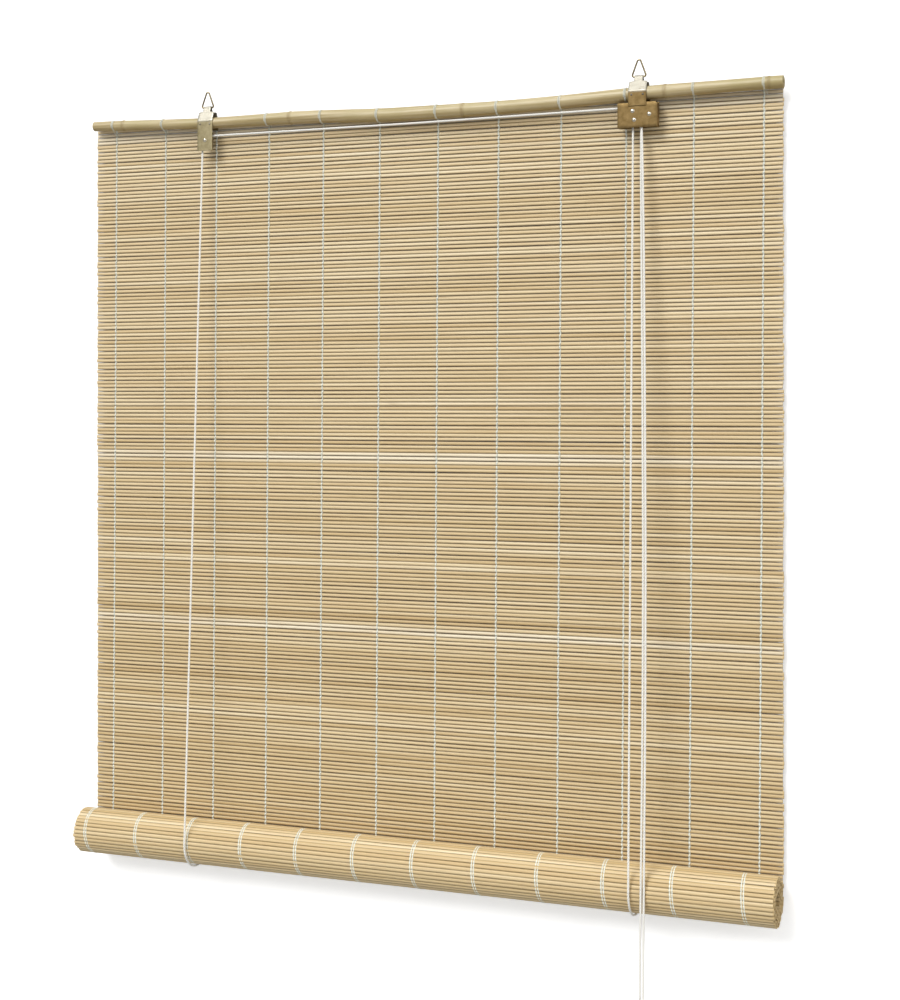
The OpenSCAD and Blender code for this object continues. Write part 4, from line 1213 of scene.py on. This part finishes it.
knob = closed_piece("pull_knob_turned", turned_knob(), knob_material(), "turned_wood")
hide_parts("pull_knob")
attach(knob, "pull")
for name, (cord, path, cord_length) in cord_ends.items():
    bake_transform(cord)

# Wall, floor, light and camera
# The blind hangs in front of a white wall that shows only from the room's side. The main light comes from
# the upper left in front and a weaker one from the right. The camera stands right of the blind, a little
# above its middle.
WALL_Y = 0.0165
FLOOR_Z = -2.7
ROOM_HALF = 5
ROOM_TOP = 3
WALL_WHITE = (0.97, 0.97, 0.97, 1)
WALL_BOUNCE = (0.4, 0.4, 0.4, 1)
WALL_GLOW = 0.38
FLOOR_GREY = (0.45, 0.45, 0.44, 1)
BEHIND_MIDDLE = np.array([-0.008, 0, -0.45])
BEHIND_HALF = np.array([0.401, 1, 0.42])
ROOM_LOW, ROOM_HIGH = (0.13, 0.13, 0.125, 1), (0.74, 0.74, 0.74, 1)
WINDOWS = [("window", 2.05, 0.5, (0.27, 0.72, -0.6)), ("far_window", 0.95, 0.9, (-0.9, 0.28, -0.3))]
CAMERA_PLACE = (0.74335, -1.7332, -0.3509)
CAMERA_TURN = 22
CAMERA_LENS = 63.27
CAMERA_SHIFT = -0.095
FILM_HEIGHT = 36


def plain_plane(name, corners, colour, one_sided=False):
    """A flat square from four corners. One-sided, it can't be seen from behind and casts no shadow, glows a
    little towards the camera like a lit backdrop, but not behind the mat, and throws back less light than
    it shows."""
    mesh = bpy.data.meshes.new(name)
    mesh.from_pydata(corners, [], [(0, 1, 2, 3)])
    material, tree, shader = new_material(name, 0.9)
    shader.inputs["Base Color"].default_value = colour
    if one_sided:
        back = add_node(tree, "ShaderNodeNewGeometry").outputs["Backfacing"]
        ray = add_node(tree, "ShaderNodeLightPath").outputs
        seen = ray["Is Camera Ray"]
        tree.links.new(mixed(tree, seen, WALL_BOUNCE, colour), shader.inputs["Base Color"])
        shader.inputs["Emission Color"].default_value = colour
        scale, shift = tuple(1 / BEHIND_HALF), tuple(-BEHIND_MIDDLE / BEHIND_HALF)
        spread = add_node(tree, "ShaderNodeVectorMath", {0: object_place(tree), 1: scale, 2: shift},
                          operation="MULTIPLY_ADD")
        reach = add_node(tree, "ShaderNodeVectorMath", {0: spread.outputs[0]}, operation="ABSOLUTE")
        sides = add_node(tree, "ShaderNodeSeparateXYZ", {"Vector": reach.outputs[0]}).outputs
        outside = maths(tree, "MAXIMUM", sides["X"], sides["Z"])
        backdrop = ranged(tree, outside, 0.99, 1.0, 0.0, WALL_GLOW)
        tree.links.new(maths(tree, "MULTIPLY", seen, backdrop), shader.inputs["Emission Strength"])
        unseen = maths(tree, "MAXIMUM", back, ray["Is Shadow Ray"])
        clear = add_node(tree, "ShaderNodeBsdfTransparent")
        choice = add_node(tree, "ShaderNodeMixShader", {0: unseen, 1: shader.outputs[0], 2: clear.outputs[0]})
        tree.links.new(choice.outputs[0], tree.nodes["Material Output"].inputs["Surface"])
    mesh.materials.append(material)
    plane = bpy.data.objects.new(name, mesh)
    bpy.context.collection.objects.link(plane)


corner_signs = ((-1, -1), (1, -1), (1, 1), (-1, 1))
wall_corners = [(ROOM_HALF * x, WALL_Y, FLOOR_Z if z < 0 else ROOM_TOP) for x, z in corner_signs]
floor_corners = [(ROOM_HALF * x, ROOM_HALF * y, FLOOR_Z) for x, y in corner_signs]
plain_plane("wall", wall_corners, WALL_WHITE, one_sided=True)
plain_plane("floor", floor_corners, FLOOR_GREY)

scene = bpy.context.scene
scene.view_settings.view_transform = "Standard"
world = bpy.data.worlds.new("room")
world.use_nodes = True
sky = world.node_tree
look = add_node(sky, "ShaderNodeTexCoord").outputs["Generated"]
upward = add_node(sky, "ShaderNodeSeparateXYZ", {"Vector": look}).outputs["Z"]
room_light = mixed(sky, ranged(sky, upward, -0.6, 0.6), ROOM_LOW, ROOM_HIGH)
sky.links.new(room_light, sky.nodes["Background"].inputs["Color"])
scene.world = world
for name, energy, angle, way in WINDOWS:
    lamp = bpy.data.lights.new(name, "SUN")
    lamp.energy, lamp.angle = energy, angle
    window = bpy.data.objects.new(name, lamp)
    window.rotation_euler = Vector(way).to_track_quat("-Z", "Y").to_euler()
    bpy.context.collection.objects.link(window)

camera = bpy.data.objects.new("camera", bpy.data.cameras.new("camera"))
camera.location = CAMERA_PLACE
camera.rotation_euler = (np.pi / 2, 0, np.radians(CAMERA_TURN))
camera.data.sensor_fit = "VERTICAL"
camera.data.sensor_height = FILM_HEIGHT
camera.data.lens = CAMERA_LENS
camera.data.shift_y = CAMERA_SHIFT
bpy.context.collection.objects.link(camera)
scene.camera = camera
